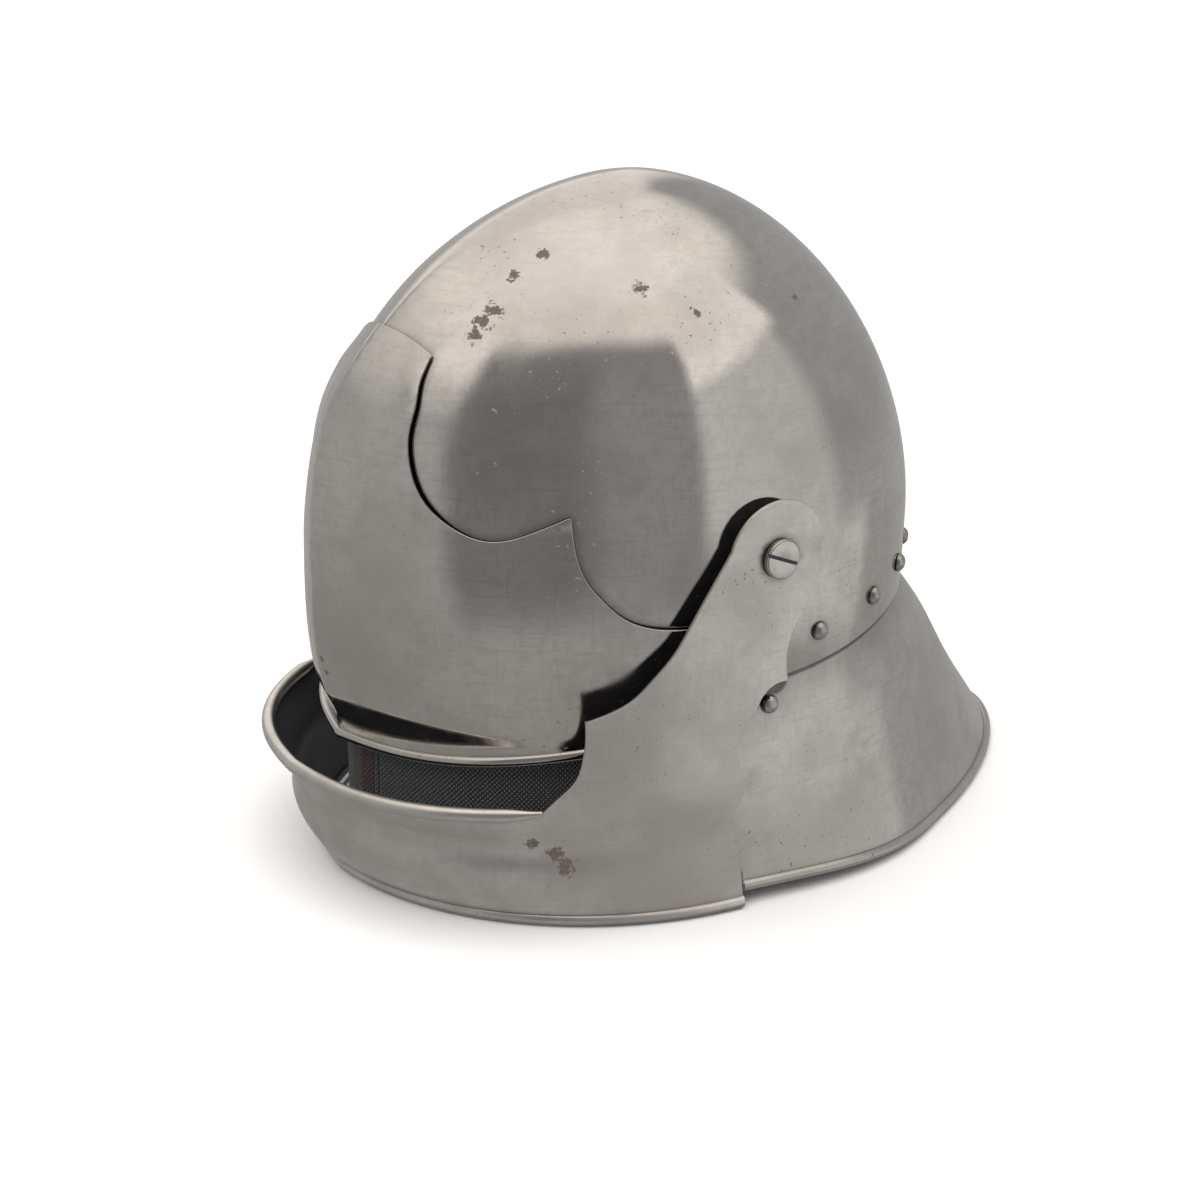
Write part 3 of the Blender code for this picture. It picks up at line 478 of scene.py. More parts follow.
def mirrored(places, normals, faces, sides):
    """Both halves of a part, sharing the points on the middle plane."""
    on_middle = np.abs(places[:, 0]) < 1e-6
    places[on_middle, 0] = 0
    normals[on_middle, 0] = 0
    normals = unit(normals)
    other = np.where(on_middle, np.arange(len(places)), len(places) + np.cumsum(~on_middle) - 1).tolist()
    turned_faces = [[other[i] for i in reversed(face)] for face in faces]
    places = np.concatenate([places, places[~on_middle] * (-1, 1, 1)])
    normals = np.concatenate([normals, normals[~on_middle] * (-1, 1, 1)])
    return places, normals, faces + turned_faces, sides * 2


def plate(fill, place, wall=PLATE, rounding=EDGE_ROUND):
    """A whole plate from its left half: its outer and inner faces, joined by a softly rounded edge."""
    flat_points, faces = fill
    outer = place(*flat_points.T)
    normals = surface_normals(place, flat_points)
    on_middle = np.abs(outer[:, 0]) < 1e-6
    normals[on_middle, 0] = 0
    normals = unit(normals)
    a, b, c = (outer[faces[:, i]] for i in range(3))
    if (np.cross(b - a, c - a) * normals[faces[:, 0]]).sum() < 0:
        faces = faces[:, ::-1]
    faces = faces.tolist()
    edges = {(face[i - 1], face[i]) for face in faces for i in range(3)}
    rim = [(i, j) for i, j in edges if (j, i) not in edges and not (on_middle[i] and on_middle[j])]
    rim.sort()
    outward = np.zeros_like(outer)
    for i, j in rim:
        side = np.cross(outer[j] - outer[i], normals[i])
        outward[[i, j]] += side / max(np.linalg.norm(side), 1e-15)
    outward[on_middle, 0] = 0
    outward = unit(outward - normals * (outward * normals).sum(1, keepdims=True))
    spots = sorted({i for edge in rim for i in edge})
    order = {spot: n for n, spot in enumerate(spots)}
    places = [outer, outer - normals * wall]
    directions = [normals, -normals]
    inner_faces = [[i + len(outer) for i in reversed(face)] for face in faces]
    rows = [list(spots)]
    count = 2 * len(outer)
    turns = [math.radians(angle) for angle in (30, 60, 90)]
    bends = [(angle, rounding * (1 - math.cos(angle))) for angle in turns]
    bends += [(math.pi - angle, wall - rounding * (1 - math.cos(angle))) for angle in reversed(turns)]
    for angle, depth in bends:
        out = rounding * math.sin(angle)
        places.append(outer[spots] + outward[spots] * out - normals[spots] * depth)
        directions.append(normals[spots] * math.cos(angle) + outward[spots] * math.sin(angle))
        rows.append([count + n for n in range(len(spots))])
        count += len(spots)
    rows.append([spot + len(outer) for spot in spots])
    strip = []
    for row, after in zip(rows, rows[1:]):
        for i, j in rim:
            m, n = order[i], order[j]
            strip.append([row[n], row[m], after[m], after[n]])
    sides = [0] * len(faces) + [1] * len(inner_faces) + [0] * len(strip)
    return mirrored(np.concatenate(places), np.concatenate(directions), faces + inner_faces + strip, sides)


def roll(path, radius, taper=0.0):
    """A rolled rim: a round bead along a path, which thins towards its ends."""
    path = np.array(path)
    along = np.concatenate([[0], np.cumsum(np.linalg.norm(np.diff(path, axis=0), axis=1))])
    to_end = np.minimum(along, along[-1] - along)
    thin = ROLL_TAPER_SHARE * (1 - eased(to_end, 0, taper)) if taper else 0 * along
    radii = radius * (1 - thin)
    tangent = unit(np.gradient(path, axis=0))
    across = unit(np.cross(tangent, (0, 0, 1)))
    upward = np.cross(across, tangent)
    angles = np.linspace(0, 2 * math.pi, ROLL_SIDES, endpoint=False)
    spokes = across[:, None] * np.cos(angles)[:, None] + upward[:, None] * np.sin(angles)[:, None]
    places = (path[:, None] + spokes * radii[:, None, None]).reshape(-1, 3)
    normals = spokes.reshape(-1, 3)
    faces = []
    for ring in range(len(path) - 1):
        for i in range(ROLL_SIDES):
            j = (i + 1) % ROLL_SIDES
            near, far = ring * ROLL_SIDES, (ring + 1) * ROLL_SIDES
            faces.append([near + i, near + j, far + j, far + i])
    tips = np.array([path[0] - tangent[0] * radii[0] * 0.3, path[-1] + tangent[-1] * radii[-1] * 0.3])
    first, last = len(places), (len(path) - 1) * ROLL_SIDES
    for i in range(ROLL_SIDES):
        j = (i + 1) % ROLL_SIDES
        faces.append([j, i, first])
        faces.append([last + i, last + j, first + 1])
    a, b, c = (places[faces[0][i]] for i in range(3))
    if np.dot(np.cross(b - a, c - a), normals[faces[0][0]]) < 0:
        faces = [face[::-1] for face in faces]
    normals = np.concatenate([normals, -tangent[:1], tangent[-1:]])
    return np.concatenate([places, tips]), normals, faces, [0] * len(faces)


def with_normal(surface, a, b, step_a, step_b):
    """Points of a surface and its normals there, which point outward."""
    along = surface(a + step_a, b) - surface(a - step_a, b)
    down = surface(a, b + step_b) - surface(a, b - step_b)
    normal = np.cross(along, down)
    normal /= np.linalg.norm(normal, axis=-1, keepdims=True)
    point = surface(a, b)
    return point, normal * np.sign((normal * point).sum(-1, keepdims=True))


def inner_middle(surface, a, b, step_a, step_b):
    """The middle of the plate's thickness behind points of its outer surface."""
    point, normal = with_normal(surface, a, b, step_a, step_b)
    return point - normal * PLATE / 2


def both_sides(half):
    """A path round the front or back from its left half, which starts on the middle."""
    half = half.copy()
    half[0, 0] = 0
    return np.concatenate([half[:0:-1] * (-1, 1, 1), half]) + PIVOT


def last_before(is_before, low, high, step):
    """The last place, to within a step, where a test that holds at the low end still holds."""
    while high - low > step:
        middle = (low + high) / 2
        if is_before(middle):
            low = middle
        else:
            high = middle
    return low


def turn_at(surface, y, z):
    return last_before(lambda turn: surface(turn, z)[1] < y, 20.0, 160.0, 0.001)


def side_arc(surface, y, z, radius, start, end):
    count = max(int(abs(math.radians(end - start)) * radius / OUTLINE_STEP), 5)
    arc = []
    for angle in np.radians(np.linspace(start, end, count + 1)):
        up = z + radius * math.sin(angle)
        arc.append((turn_at(surface, y + radius * math.cos(angle), up) * PER_DEGREE, up))
    return arc


def flat(points):
    return [(turn * PER_DEGREE, float(height(level))) for turn, level in points]


def dome_flat(turn, z):
    up = max((z + DOME_DROP) / DOME_RISE, 0)
    way = DOME_ARC * (math.acos(min(up ** (DOME_POWER / 2), 1)) if up > 0 else math.pi / 2)
    way += max(-z - DOME_DROP, 0)
    angle = math.radians(turn)
    return way * math.sin(angle), -way * math.cos(angle)


def dome_place(surface):
    def place(u, v):
        way = np.hypot(u, v)
        turn = np.degrees(np.arctan2(u, np.where(way > 1e-9, -v, 1)))
        angle = np.minimum(way / DOME_ARC, math.pi / 2)
        z = -DOME_DROP + DOME_RISE * np.clip(np.cos(angle), 0, 1) ** (2 / DOME_POWER)
        z = z - np.clip(way - DOME_ARC * math.pi / 2, 0, None)
        return surface(turn, z) + PIVOT

    return place


def drum_place(surface):
    def place(u, v):
        return surface(u / PER_DEGREE, v) + PIVOT

    return place


def visor_rim_height(turn):
    z = float(height(HEAD_FORM[1][0]))
    back = visor_point(turn, z)[..., 1] - visor_point(0, z)[..., 1]
    return z + VISOR_RIM_RISE * back


def bevor_rim_height(turn):
    z = float(height(BEVOR_RIM_LEVEL))
    return z + BEVOR_RIM_RISE * (bevor_point(turn, z)[..., 1] - bevor_point(0, z)[..., 1])


def rim_turns(surface, end, z):
    """Turns from 0 to an end, an even step apart along a rim."""
    turns = np.linspace(0, end, 200)
    way = np.concatenate([[0], np.cumsum(np.linalg.norm(np.diff(surface(turns, z), axis=0), axis=1))])
    return np.interp(np.linspace(0, way[-1], int(way[-1] / OUTLINE_STEP) + 1), way, turns)


def down_middle(top, bottom):
    """Spots down the middle line between two heights, without the two ends."""
    count = max(int(round(abs(top - bottom) / MESH_STEP)), 1)
    return [(0.0, v) for v in np.linspace(top, bottom, count + 1)[1:-1].tolist()]


def make_skull():
    edges = [[dome_flat(turn, float(height(level))) for turn, level in stretch] for stretch in SKULL_EDGES]
    edges[1] = [(max(u, 0.0), v) for u, v in edges[1]]
    outline = joined(edges)
    outline[0] = (0.0, outline[0][1])
    outline[-1] = (0.0, outline[-1][1])
    outline += down_middle(outline[-1][1], outline[0][1])
    return mesh_object("skull_plate", [plate(filled(outline, MESH_STEP), dome_place(head_point))])


def make_visor():
    turns = rim_turns(visor_point, VISOR_RIM_END, float(height(HEAD_FORM[1][0])))[::-1]
    rear = flat(VISOR_ARM_REAR)
    rear[-1] = (VISOR_RIM_END * PER_DEGREE, float(visor_rim_height(VISOR_RIM_END)))
    lobe = side_arc(visor_point, 0, 0, VISOR_LOBE, VISOR_ARM_START, VISOR_ARM_END)
    arm_top = flat(VISOR_ARM_TOP[:-1]) + [lobe[0]]
    stretches = [flat(stretch) for stretch in VISOR_EDGES]
    outline = joined(stretches + [arm_top]) + lobe[1:]
    outline += joined([[lobe[-1]] + rear[1:]])[1:]
    outline += [(turn * PER_DEGREE, float(visor_rim_height(turn))) for turn in turns[1:]]
    outline += down_middle(outline[-1][1], outline[0][1])
    half = inner_middle(visor_point, turns[::-1], visor_rim_height(turns[::-1]), 0.5, 0.0005)
    sheet = plate(filled(outline, MESH_STEP), drum_place(visor_point))
    return mesh_object("visor_plate", [sheet, roll(both_sides(half), VISOR_ROLL)])


def bevor_notch(centre, radius, start, end):
    """A round notch in the bevor's rear edge, about a centre given as y and level."""
    y, level = centre
    return side_arc(bevor_point, y, float(height(level)), radius, start, end)


def make_bevor():
    rim_z = float(height(BEVOR_RIM_LEVEL))
    turns = rim_turns(bevor_point, BEVOR_RIM_END, rim_z)
    top = [(turn * PER_DEGREE, float(bevor_rim_height(turn))) for turn in turns]
    front = [flat(stretch) for stretch in BEVOR_EDGES]
    front[0][0] = top[-1]
    lobe = side_arc(bevor_point, 0, 0, BEVOR_LOBE, BEVOR_LOBE_START, BEVOR_LOBE_END)
    front[-1][-1] = lobe[0]
    rear = []
    for stretch in BEVOR_REAR:
        heights = [(y, float(height(level))) for y, level in stretch]
        rear.append([(turn_at(bevor_point, y, z) * PER_DEGREE, z) for y, z in heights])
    rear[0] = [lobe[-1]] + rear[0][1:]
    ear = bevor_notch(EAR_RIVET, EAR_NOTCH, EAR_NOTCH_START, EAR_NOTCH_END)
    lower = bevor_notch(LOWER_NOTCH_CENTRE, LOWER_NOTCH, LOWER_NOTCH_START, LOWER_NOTCH_END)
    rear[0][-1] = ear[0]
    rear[1][0] = lower[-1]
    foot_z = -PIVOT_HEIGHT + BEVOR_FOOT_ROLL
    foot_end = rear[1][-1][0] / PER_DEGREE
    foot_turns = rim_turns(bevor_point, foot_end, foot_z)
    rear[1][-1] = (rear[1][-1][0], foot_z)
    outline = top + joined(front)[1:] + lobe[1:] + joined(rear[:1])[1:]
    outline += ear[1:] + lower + joined(rear[1:])[1:]
    outline += [(turn * PER_DEGREE, foot_z) for turn in foot_turns[::-1][1:]]
    outline += down_middle(outline[-1][1], outline[0][1])
    sheet = plate(filled(outline, MESH_STEP), drum_place(bevor_point))
    rim = inner_middle(bevor_point, turns, bevor_rim_height(turns), 0.5, 0.0005)
    foot = inner_middle(bevor_point, foot_turns, foot_z, 0.5, 0.0005)
    foot[:, 2] = foot_z
    rolls = [roll(both_sides(rim), BEVOR_TOP_ROLL, ROLL_TAPER), roll(both_sides(foot), BEVOR_FOOT_ROLL)]
    return mesh_object("bevor_plate", [sheet] + rolls)


def run_at(y):
    return last_before(lambda run: guard_rim_point(run)[1] < y, 0.0, 0.6, 0.00001)


def make_guard():
    length = PER_DEGREE * (180 - GUARD_FRONT_TURN)
    depth = GUARD_MAP_DEPTH
    top = -GUARD_TUCK
    start = run_at(GUARD_ROLL_START)
    upper = smooth([(0.0, top), (length, top)], MESH_STEP)
    front = [((1 - run) * length, drop * depth) for run, drop in GUARD_FRONT]
    corner = ((1 - start) * length, GUARD_FRONT[-1][1] * depth)
    foot = ((1 - start) * length, depth)
    outline = upper + joined([[upper[-1], front[0]], front, [front[-1], corner], [corner, foot]])[1:]
    outline += smooth([foot, (0.0, depth)], OUTLINE_STEP)[1:]
    outline += [(0.0, v) for v in np.linspace(depth, top, int((depth - top) / MESH_STEP))[1:-1].tolist()]
    seam = smooth([(MESH_STEP / 2, 0.0), (length - MESH_STEP / 2, 0.0)], MESH_STEP)

    def place(u, v):
        return guard_point(1 - u / length, v / depth) + PIVOT

    runs = 1 - np.linspace(0, 1 - start, 260)
    half = inner_middle(guard_point, runs, 1.0, 0.0005, 0.0005)
    half[:, 2] += guard_rim_point(1.0)[2] - half[0, 2]
    sheet = plate(filled(outline, MESH_STEP, [seam]), place)
    guard = mesh_object("neck_guard_plate", [sheet, roll(both_sides(half), GUARD_ROLL)])
    shade_edges(guard)
    return guard


def shade_edges(guard):
    """Keeps, at each point of the guard, how far it is from the edges of the plates over it, for the painted
    shade under those edges.
    """
    turns = np.linspace(GUARD_FRONT_TURN, 180, 400)
    seam_line = head_point(turns, seam_height(turns), -GUARD_INSET)
    u, v = np.array(bevor_notch(EAR_RIVET, EAR_NOTCH, EAR_NOTCH_START, EAR_NOTCH_END)).T
    ear_line = bevor_point(u / PER_DEGREE, v)
    spots = np.array([vertex.co for vertex in guard.data.vertices]) - PIVOT
    spots[:, 0] = np.abs(spots[:, 0])
    away = []
    for line in (seam_line, ear_line):
        found = np.concatenate(
            [np.linalg.norm(part[:, None] - line, axis=2).min(1) for part in np.array_split(spots, 20)]
        )
        away.append(found - found.min())
    away[0] = np.where(spots[:, 2] > 0, 1.0, away[0])
    mark = guard.data.attributes.new("from_edge", "FLOAT", "POINT")
    mark.data.foreach_set("value", np.minimum(*away).astype(np.float32))


def make_lining():
    edges = [[dome_flat(turn, float(height(level))) for turn, level in stretch] for stretch in LINING_EDGES]
    face, hem = (smooth(edge, OUTLINE_STEP) for edge in edges)
    crown = smooth([face[-1], hem[0]], MESH_STEP)
    chin = smooth([hem[-1], face[0]], MESH_STEP)
    outline = face + crown[1:-1] + hem + chin[1:-1]
    outline = [(max(u, 0.0), v) for u, v in outline]
    for i in (0, len(face) - 1):
        outline[i] = (0.0, outline[i][1])
    bag = plate(filled(outline, MESH_STEP), dome_place(lining_point), LINING_WALL, LINING_EDGE_ROUND)
    return mesh_object("lining_cloth", [bag])


def new_object(name, shape):
    mesh = bpy.data.meshes.new(name)
    shape.to_mesh(mesh)
    shape.free()
    obj = bpy.data.objects.new(name, mesh)
    bpy.context.scene.collection.objects.link(obj)
    mesh.shade_smooth()
    return obj


def settled(obj):
    """The object with its modifiers worked into its mesh."""
    bpy.context.view_layer.update()
    graph = bpy.context.evaluated_depsgraph_get()
    mesh = bpy.data.meshes.new_from_object(obj.evaluated_get(graph), depsgraph=graph)
    obj.modifiers.clear()
    obj.data = mesh
    return obj


def turned(profile, steps):
    """A turned piece along +Z from a profile that runs down its outer side."""
    shape = bmesh.new()
    points = [shape.verts.new((r, 0, z)) for r, z in profile]
    edges = [shape.edges.new(pair) for pair in zip(points, points[1:])]
    axis = {"axis": (0, 0, 1), "cent": (0, 0, 0)}
    bmesh.ops.spin(shape, geom=points + edges, angle=2 * math.pi, steps=steps, use_merge=True, **axis)
    bmesh.ops.remove_doubles(shape, verts=shape.verts, dist=1e-6)
    bmesh.ops.recalc_face_normals(shape, faces=shape.faces)
    return shape


def outward_at(surface, a, b, step_a, step_b):
    point, normal = with_normal(surface, a, b, step_a, step_b)
    return Vector(point) + Vector(PIVOT), Vector(normal)


def make_rivet(name, point, direction, grip, lean):
    """A hammered rivet: a round head, a little flat on top, and the burr inside."""
    tail = -grip - CLEARANCE
    burr = RIVET_SHANK * 1.5
    head = []
    for angle in np.radians((0, 12, 24, 36, 48, 60, 72, 82, 90)):
        dome = RIVET_RISE * min(math.cos(angle) * 1.06, 0.985 + 0.015 * math.cos(angle))
        head.append((RIVET_HEAD * math.sin(angle), CLEARANCE + dome))
    profile = head + [(RIVET_HEAD * 0.96, CLEARANCE * 0.3), (RIVET_SHANK, CLEARANCE * 0.3)]
    profile += [(RIVET_SHANK, tail), (burr, tail)]
    profile += [(burr * 0.8, tail - burr * 0.25), (0.0, tail - burr * 0.33)]
    shape = turned(profile, 28)
    for vert in shape.verts:
        if vert.co.z > CLEARANCE:
            vert.co.x *= 1 + lean * 0.04
            vert.co.z += lean * 0.05 * vert.co.x
    obj = new_object(name, shape)
    obj.data.set_sharp_from_angle(angle=math.radians(38))
    turn = direction.to_track_quat("Z", "Y").to_matrix().to_4x4()
    obj.data.transform(Matrix.Translation(point) @ turn)
    return obj


def guard_at(y, z):
    run, drop = 0.1, 0.1
    for _ in range(60):
        point = guard_point(run, drop)
        run += (y - point[1]) / GUARD_REACH
        drop += (point[2] - z) / GUARD_MAP_DEPTH
    return run, drop


def make_rivets():
    made = []
    for number, (turn, level) in enumerate(SEAM_RIVETS, 1):
        point, direction = outward_at(head_point, turn, float(height(level)), 0.5, 0.0005)
        grip = PLATE * 2 + TUCK_GAP
        sides = (("back", 0),) if turn == 180 else (("left", 1), ("right", -1))
        for side, sign in sides:
            name = f"seam_rivet_{side}_{number}" if sign else "seam_rivet_back"
            made.append((name, sign or 1, point, direction, grip))
    run, drop = guard_at(EAR_RIVET[0], float(height(EAR_RIVET[1])))
    point, direction = outward_at(guard_point, run, drop, 0.002, 0.005)
    for side, sign in (("left", 1), ("right", -1)):
        made.append((f"ear_rivet_{side}", sign, point, direction, PLATE))
    rivets = []
    for number, (node, sign, point, direction, grip) in enumerate(made):
        mirror = Vector((sign, 1, 1))
        lean = math.sin(number * 2.3)
        rivet = make_rivet(node + "_head", point * mirror, direction * mirror, grip, lean)
        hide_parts(node)
        rivets.append(rivet)
    return rivets


def make_screw(side, sign):
    """The slotted pivot screw, its head's edge turned round."""
    seat = ARM_HALF_WIDTH + CLEARANCE
    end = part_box("pivot_screw_" + side)[0 if sign > 0 else 1][0] * sign - seat
    rim = SCREW_HEAD_RISE * 0.28
    profile = [(0.0, SCREW_HEAD_RISE * 1.03), (SCREW_HEAD * 0.6, SCREW_HEAD_RISE * 1.01)]
    profile += [(SCREW_HEAD - rim * (1 - math.sin(a)), SCREW_HEAD_RISE - rim * (1 - math.cos(a)))
                for a in np.radians((0, 22, 45, 68, 90))]
    profile += [(SCREW_HEAD, 0.0), (0.0025, 0.0), (0.0025, end), (0.0, end)]
    screw = new_object("pivot_screw_" + side + "_slotted", turned(profile, 64))
    shape = bmesh.new()
    size = (SCREW_HEAD * 3, SCREW_SLOT_WIDTH, SCREW_SLOT_DEPTH * 2)
    place = Matrix.Translation((0, 0, SCREW_HEAD_RISE)) @ Matrix.Diagonal((*size, 1))
    bmesh.ops.create_cube(shape, size=1, matrix=place)
    slot = new_object("slot", shape)
    cut = screw.modifiers.new("slot", "BOOLEAN")
    cut.object = slot
    cut.solver = "EXACT"
    settled(screw)
    bpy.data.objects.remove(slot)
    soft = screw.modifiers.new("edges", "BEVEL")
    soft.width = 0.00012
    soft.segments = 2
    soft.limit_method = "ANGLE"
    soft.angle_limit = math.radians(50)
    settled(screw)
    screw.data.set_sharp_from_angle(angle=math.radians(50))
    for face in screw.data.polygons:
        x, y, z = face.center
        low = SCREW_HEAD_RISE - SCREW_SLOT_DEPTH * 1.2 < z < SCREW_HEAD_RISE - SCREW_SLOT_DEPTH * 0.1
        if low and math.hypot(x, y) < SCREW_HEAD * 0.97:
            face.material_index = 1
    lie = Matrix(((0, 0, sign, 0), (-1, 0, 0, 0), (0, -sign, 0, 0), (0, 0, 0, 1)))
    spin = Matrix.Rotation(math.radians(SCREW_SLOT_TURN), 4, "X")
    middle = Vector(PIVOT) + Vector((sign * seat, 0, 0))
    screw.data.transform(Matrix.Translation(middle) @ spin @ lie)
    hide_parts("pivot_screw_" + side)
    return screw


class Nodes:
    """Short ways to add and join the nodes of one material or sky."""

    def __init__(self, tree, place):
        self.tree = tree
        self.place = self.add("ShaderNodeTexCoord").outputs[place]

    def add(self, kind, **settings):
        node = self.tree.nodes.new(kind)
        for key, value in settings.items():
            setattr(node, key, value)
        return node

    def put(self, node, key, value):
        """Sets an input, or links to it where the value is another node's output."""
        if isinstance(value, bpy.types.NodeSocket):
            self.tree.links.new(value, node.inputs[key])
        else:
            node.inputs[key].default_value = value

    def stretched(self, scale, turn=(0, 0, 0)):
        node = self.add("ShaderNodeMapping")
        self.put(node, "Vector", self.place)
        self.put(node, "Scale", scale)
        self.put(node, "Rotation", turn)
        return node.outputs["Vector"]

    def noise(self, scale, detail=4.0, rough=0.55, at=None):
        node = self.add("ShaderNodeTexNoise")
        self.put(node, "Vector", at or self.place)
        for key, value in (("Scale", scale), ("Detail", detail), ("Roughness", rough)):
            self.put(node, key, value)
        return node.outputs["Fac"]

    def ramp(self, value, low, high, out_low=0.0, out_high=1.0):
        node = self.add("ShaderNodeMapRange", interpolation_type="SMOOTHSTEP")
        self.put(node, "Value", value)
        for key, number in (("From Min", low), ("From Max", high), ("To Min", out_low), ("To Max", out_high)):
            self.put(node, key, number)
        return node.outputs["Result"]

    def maths(self, operation, a, b=0.0):
        node = self.add("ShaderNodeMath", operation=operation)
        self.put(node, 0, a)
        self.put(node, 1, b)
        return node.outputs[0]

    def mix(self, share, a, b):
        node = self.add("ShaderNodeMix", data_type="RGBA")
        self.put(node, "Factor", share)
        for key, value in ((6, a), (7, b)):
            self.put(node, key, (*value, 1) if isinstance(value, tuple) else value)
        return node.outputs[2]

    def bump(self, value, strength, distance, normal=None):
        node = self.add("ShaderNodeBump")
        self.put(node, "Height", value)
        self.put(node, "Strength", strength)
        self.put(node, "Distance", distance)
        if normal is not None:
            self.put(node, "Normal", normal)
        return node.outputs["Normal"]

    def spot(self, centre, size, ragged):
        """1 within a ragged patch round a point, of a size along each axis; 0 away from it."""
        away = self.add("ShaderNodeVectorMath", operation="SUBTRACT")
        self.put(away, 0, self.place)
        self.put(away, 1, centre)
        scaled = self.add("ShaderNodeVectorMath", operation="DIVIDE")
        self.put(scaled, 0, away.outputs[0])
        self.put(scaled, 1, size)
        length = self.add("ShaderNodeVectorMath", operation="LENGTH")
        self.put(length, 0, scaled.outputs[0])
        return self.ramp(self.maths("ADD", length.outputs["Value"], ragged), 1.05, 0.85)


def new_material(name):
    """A material, its nodes, and its shader."""
    material = bpy.data.materials.new(name)
    material.use_nodes = True
    nodes = Nodes(material.node_tree, "Object")
    return material, nodes, material.node_tree.nodes["Principled BSDF"]


STEEL = (0.650, 0.632, 0.607)
STEEL_DULL = (0.505, 0.487, 0.463)
RUST = (0.090, 0.066, 0.058)
SMUDGE_ROUGH = 0.10
# Painted shade: a dark colour mixed into the steel's base colour where ambient occlusion finds crevices
# within a reach, and near the edges of the plates over the guard within EDGE_SHADE.
CREVICE_SHADE_COLOUR = (0.045, 0.040, 0.036)
CREVICE_SHADE_REACH = 0.0035
EDGE_SHADE = 0.0036

# Rust on each plate: where it is on it, by turn and level, and its radius in metres
SKULL_RUST = (
    ("turn", "level", "radius"),
    (26, 0.62, 0.0031),
    (27, 0.65, 0.0034),
    (28, 0.68, 0.0030),
    (28, 0.77, 0.0026),
    (33, 0.82, 0.0026),
    (65, 0.74, 0.0028),
    (79, 0.68, 0.0017),
    (111, 0.68, 0.0018),
    (-48, 0.64, 0.0026),
    (-150, 0.79, 0.0024),
    (-111, 0.41, 0.0026),
)
VISOR_RUST = (
    ("turn", "level", "radius"),
    (1, -0.34, 0.0016),
    (2, -0.38, 0.0014),
    (57, -0.42, 0.0011),
    (-40, -0.23, 0.0018),
)
BEVOR_RUST = (
    ("turn", "level", "radius"),
    (50, -0.73, 0.0025),
    (53, -0.77, 0.0031),
    (55, -0.81, 0.0032),
    (-41, -0.78, 0.0026),
)


def rust_places(surface, table):
    return [(surface(turn, float(height(level))) + PIVOT, radius) for turn, level, radius in table[1:]]


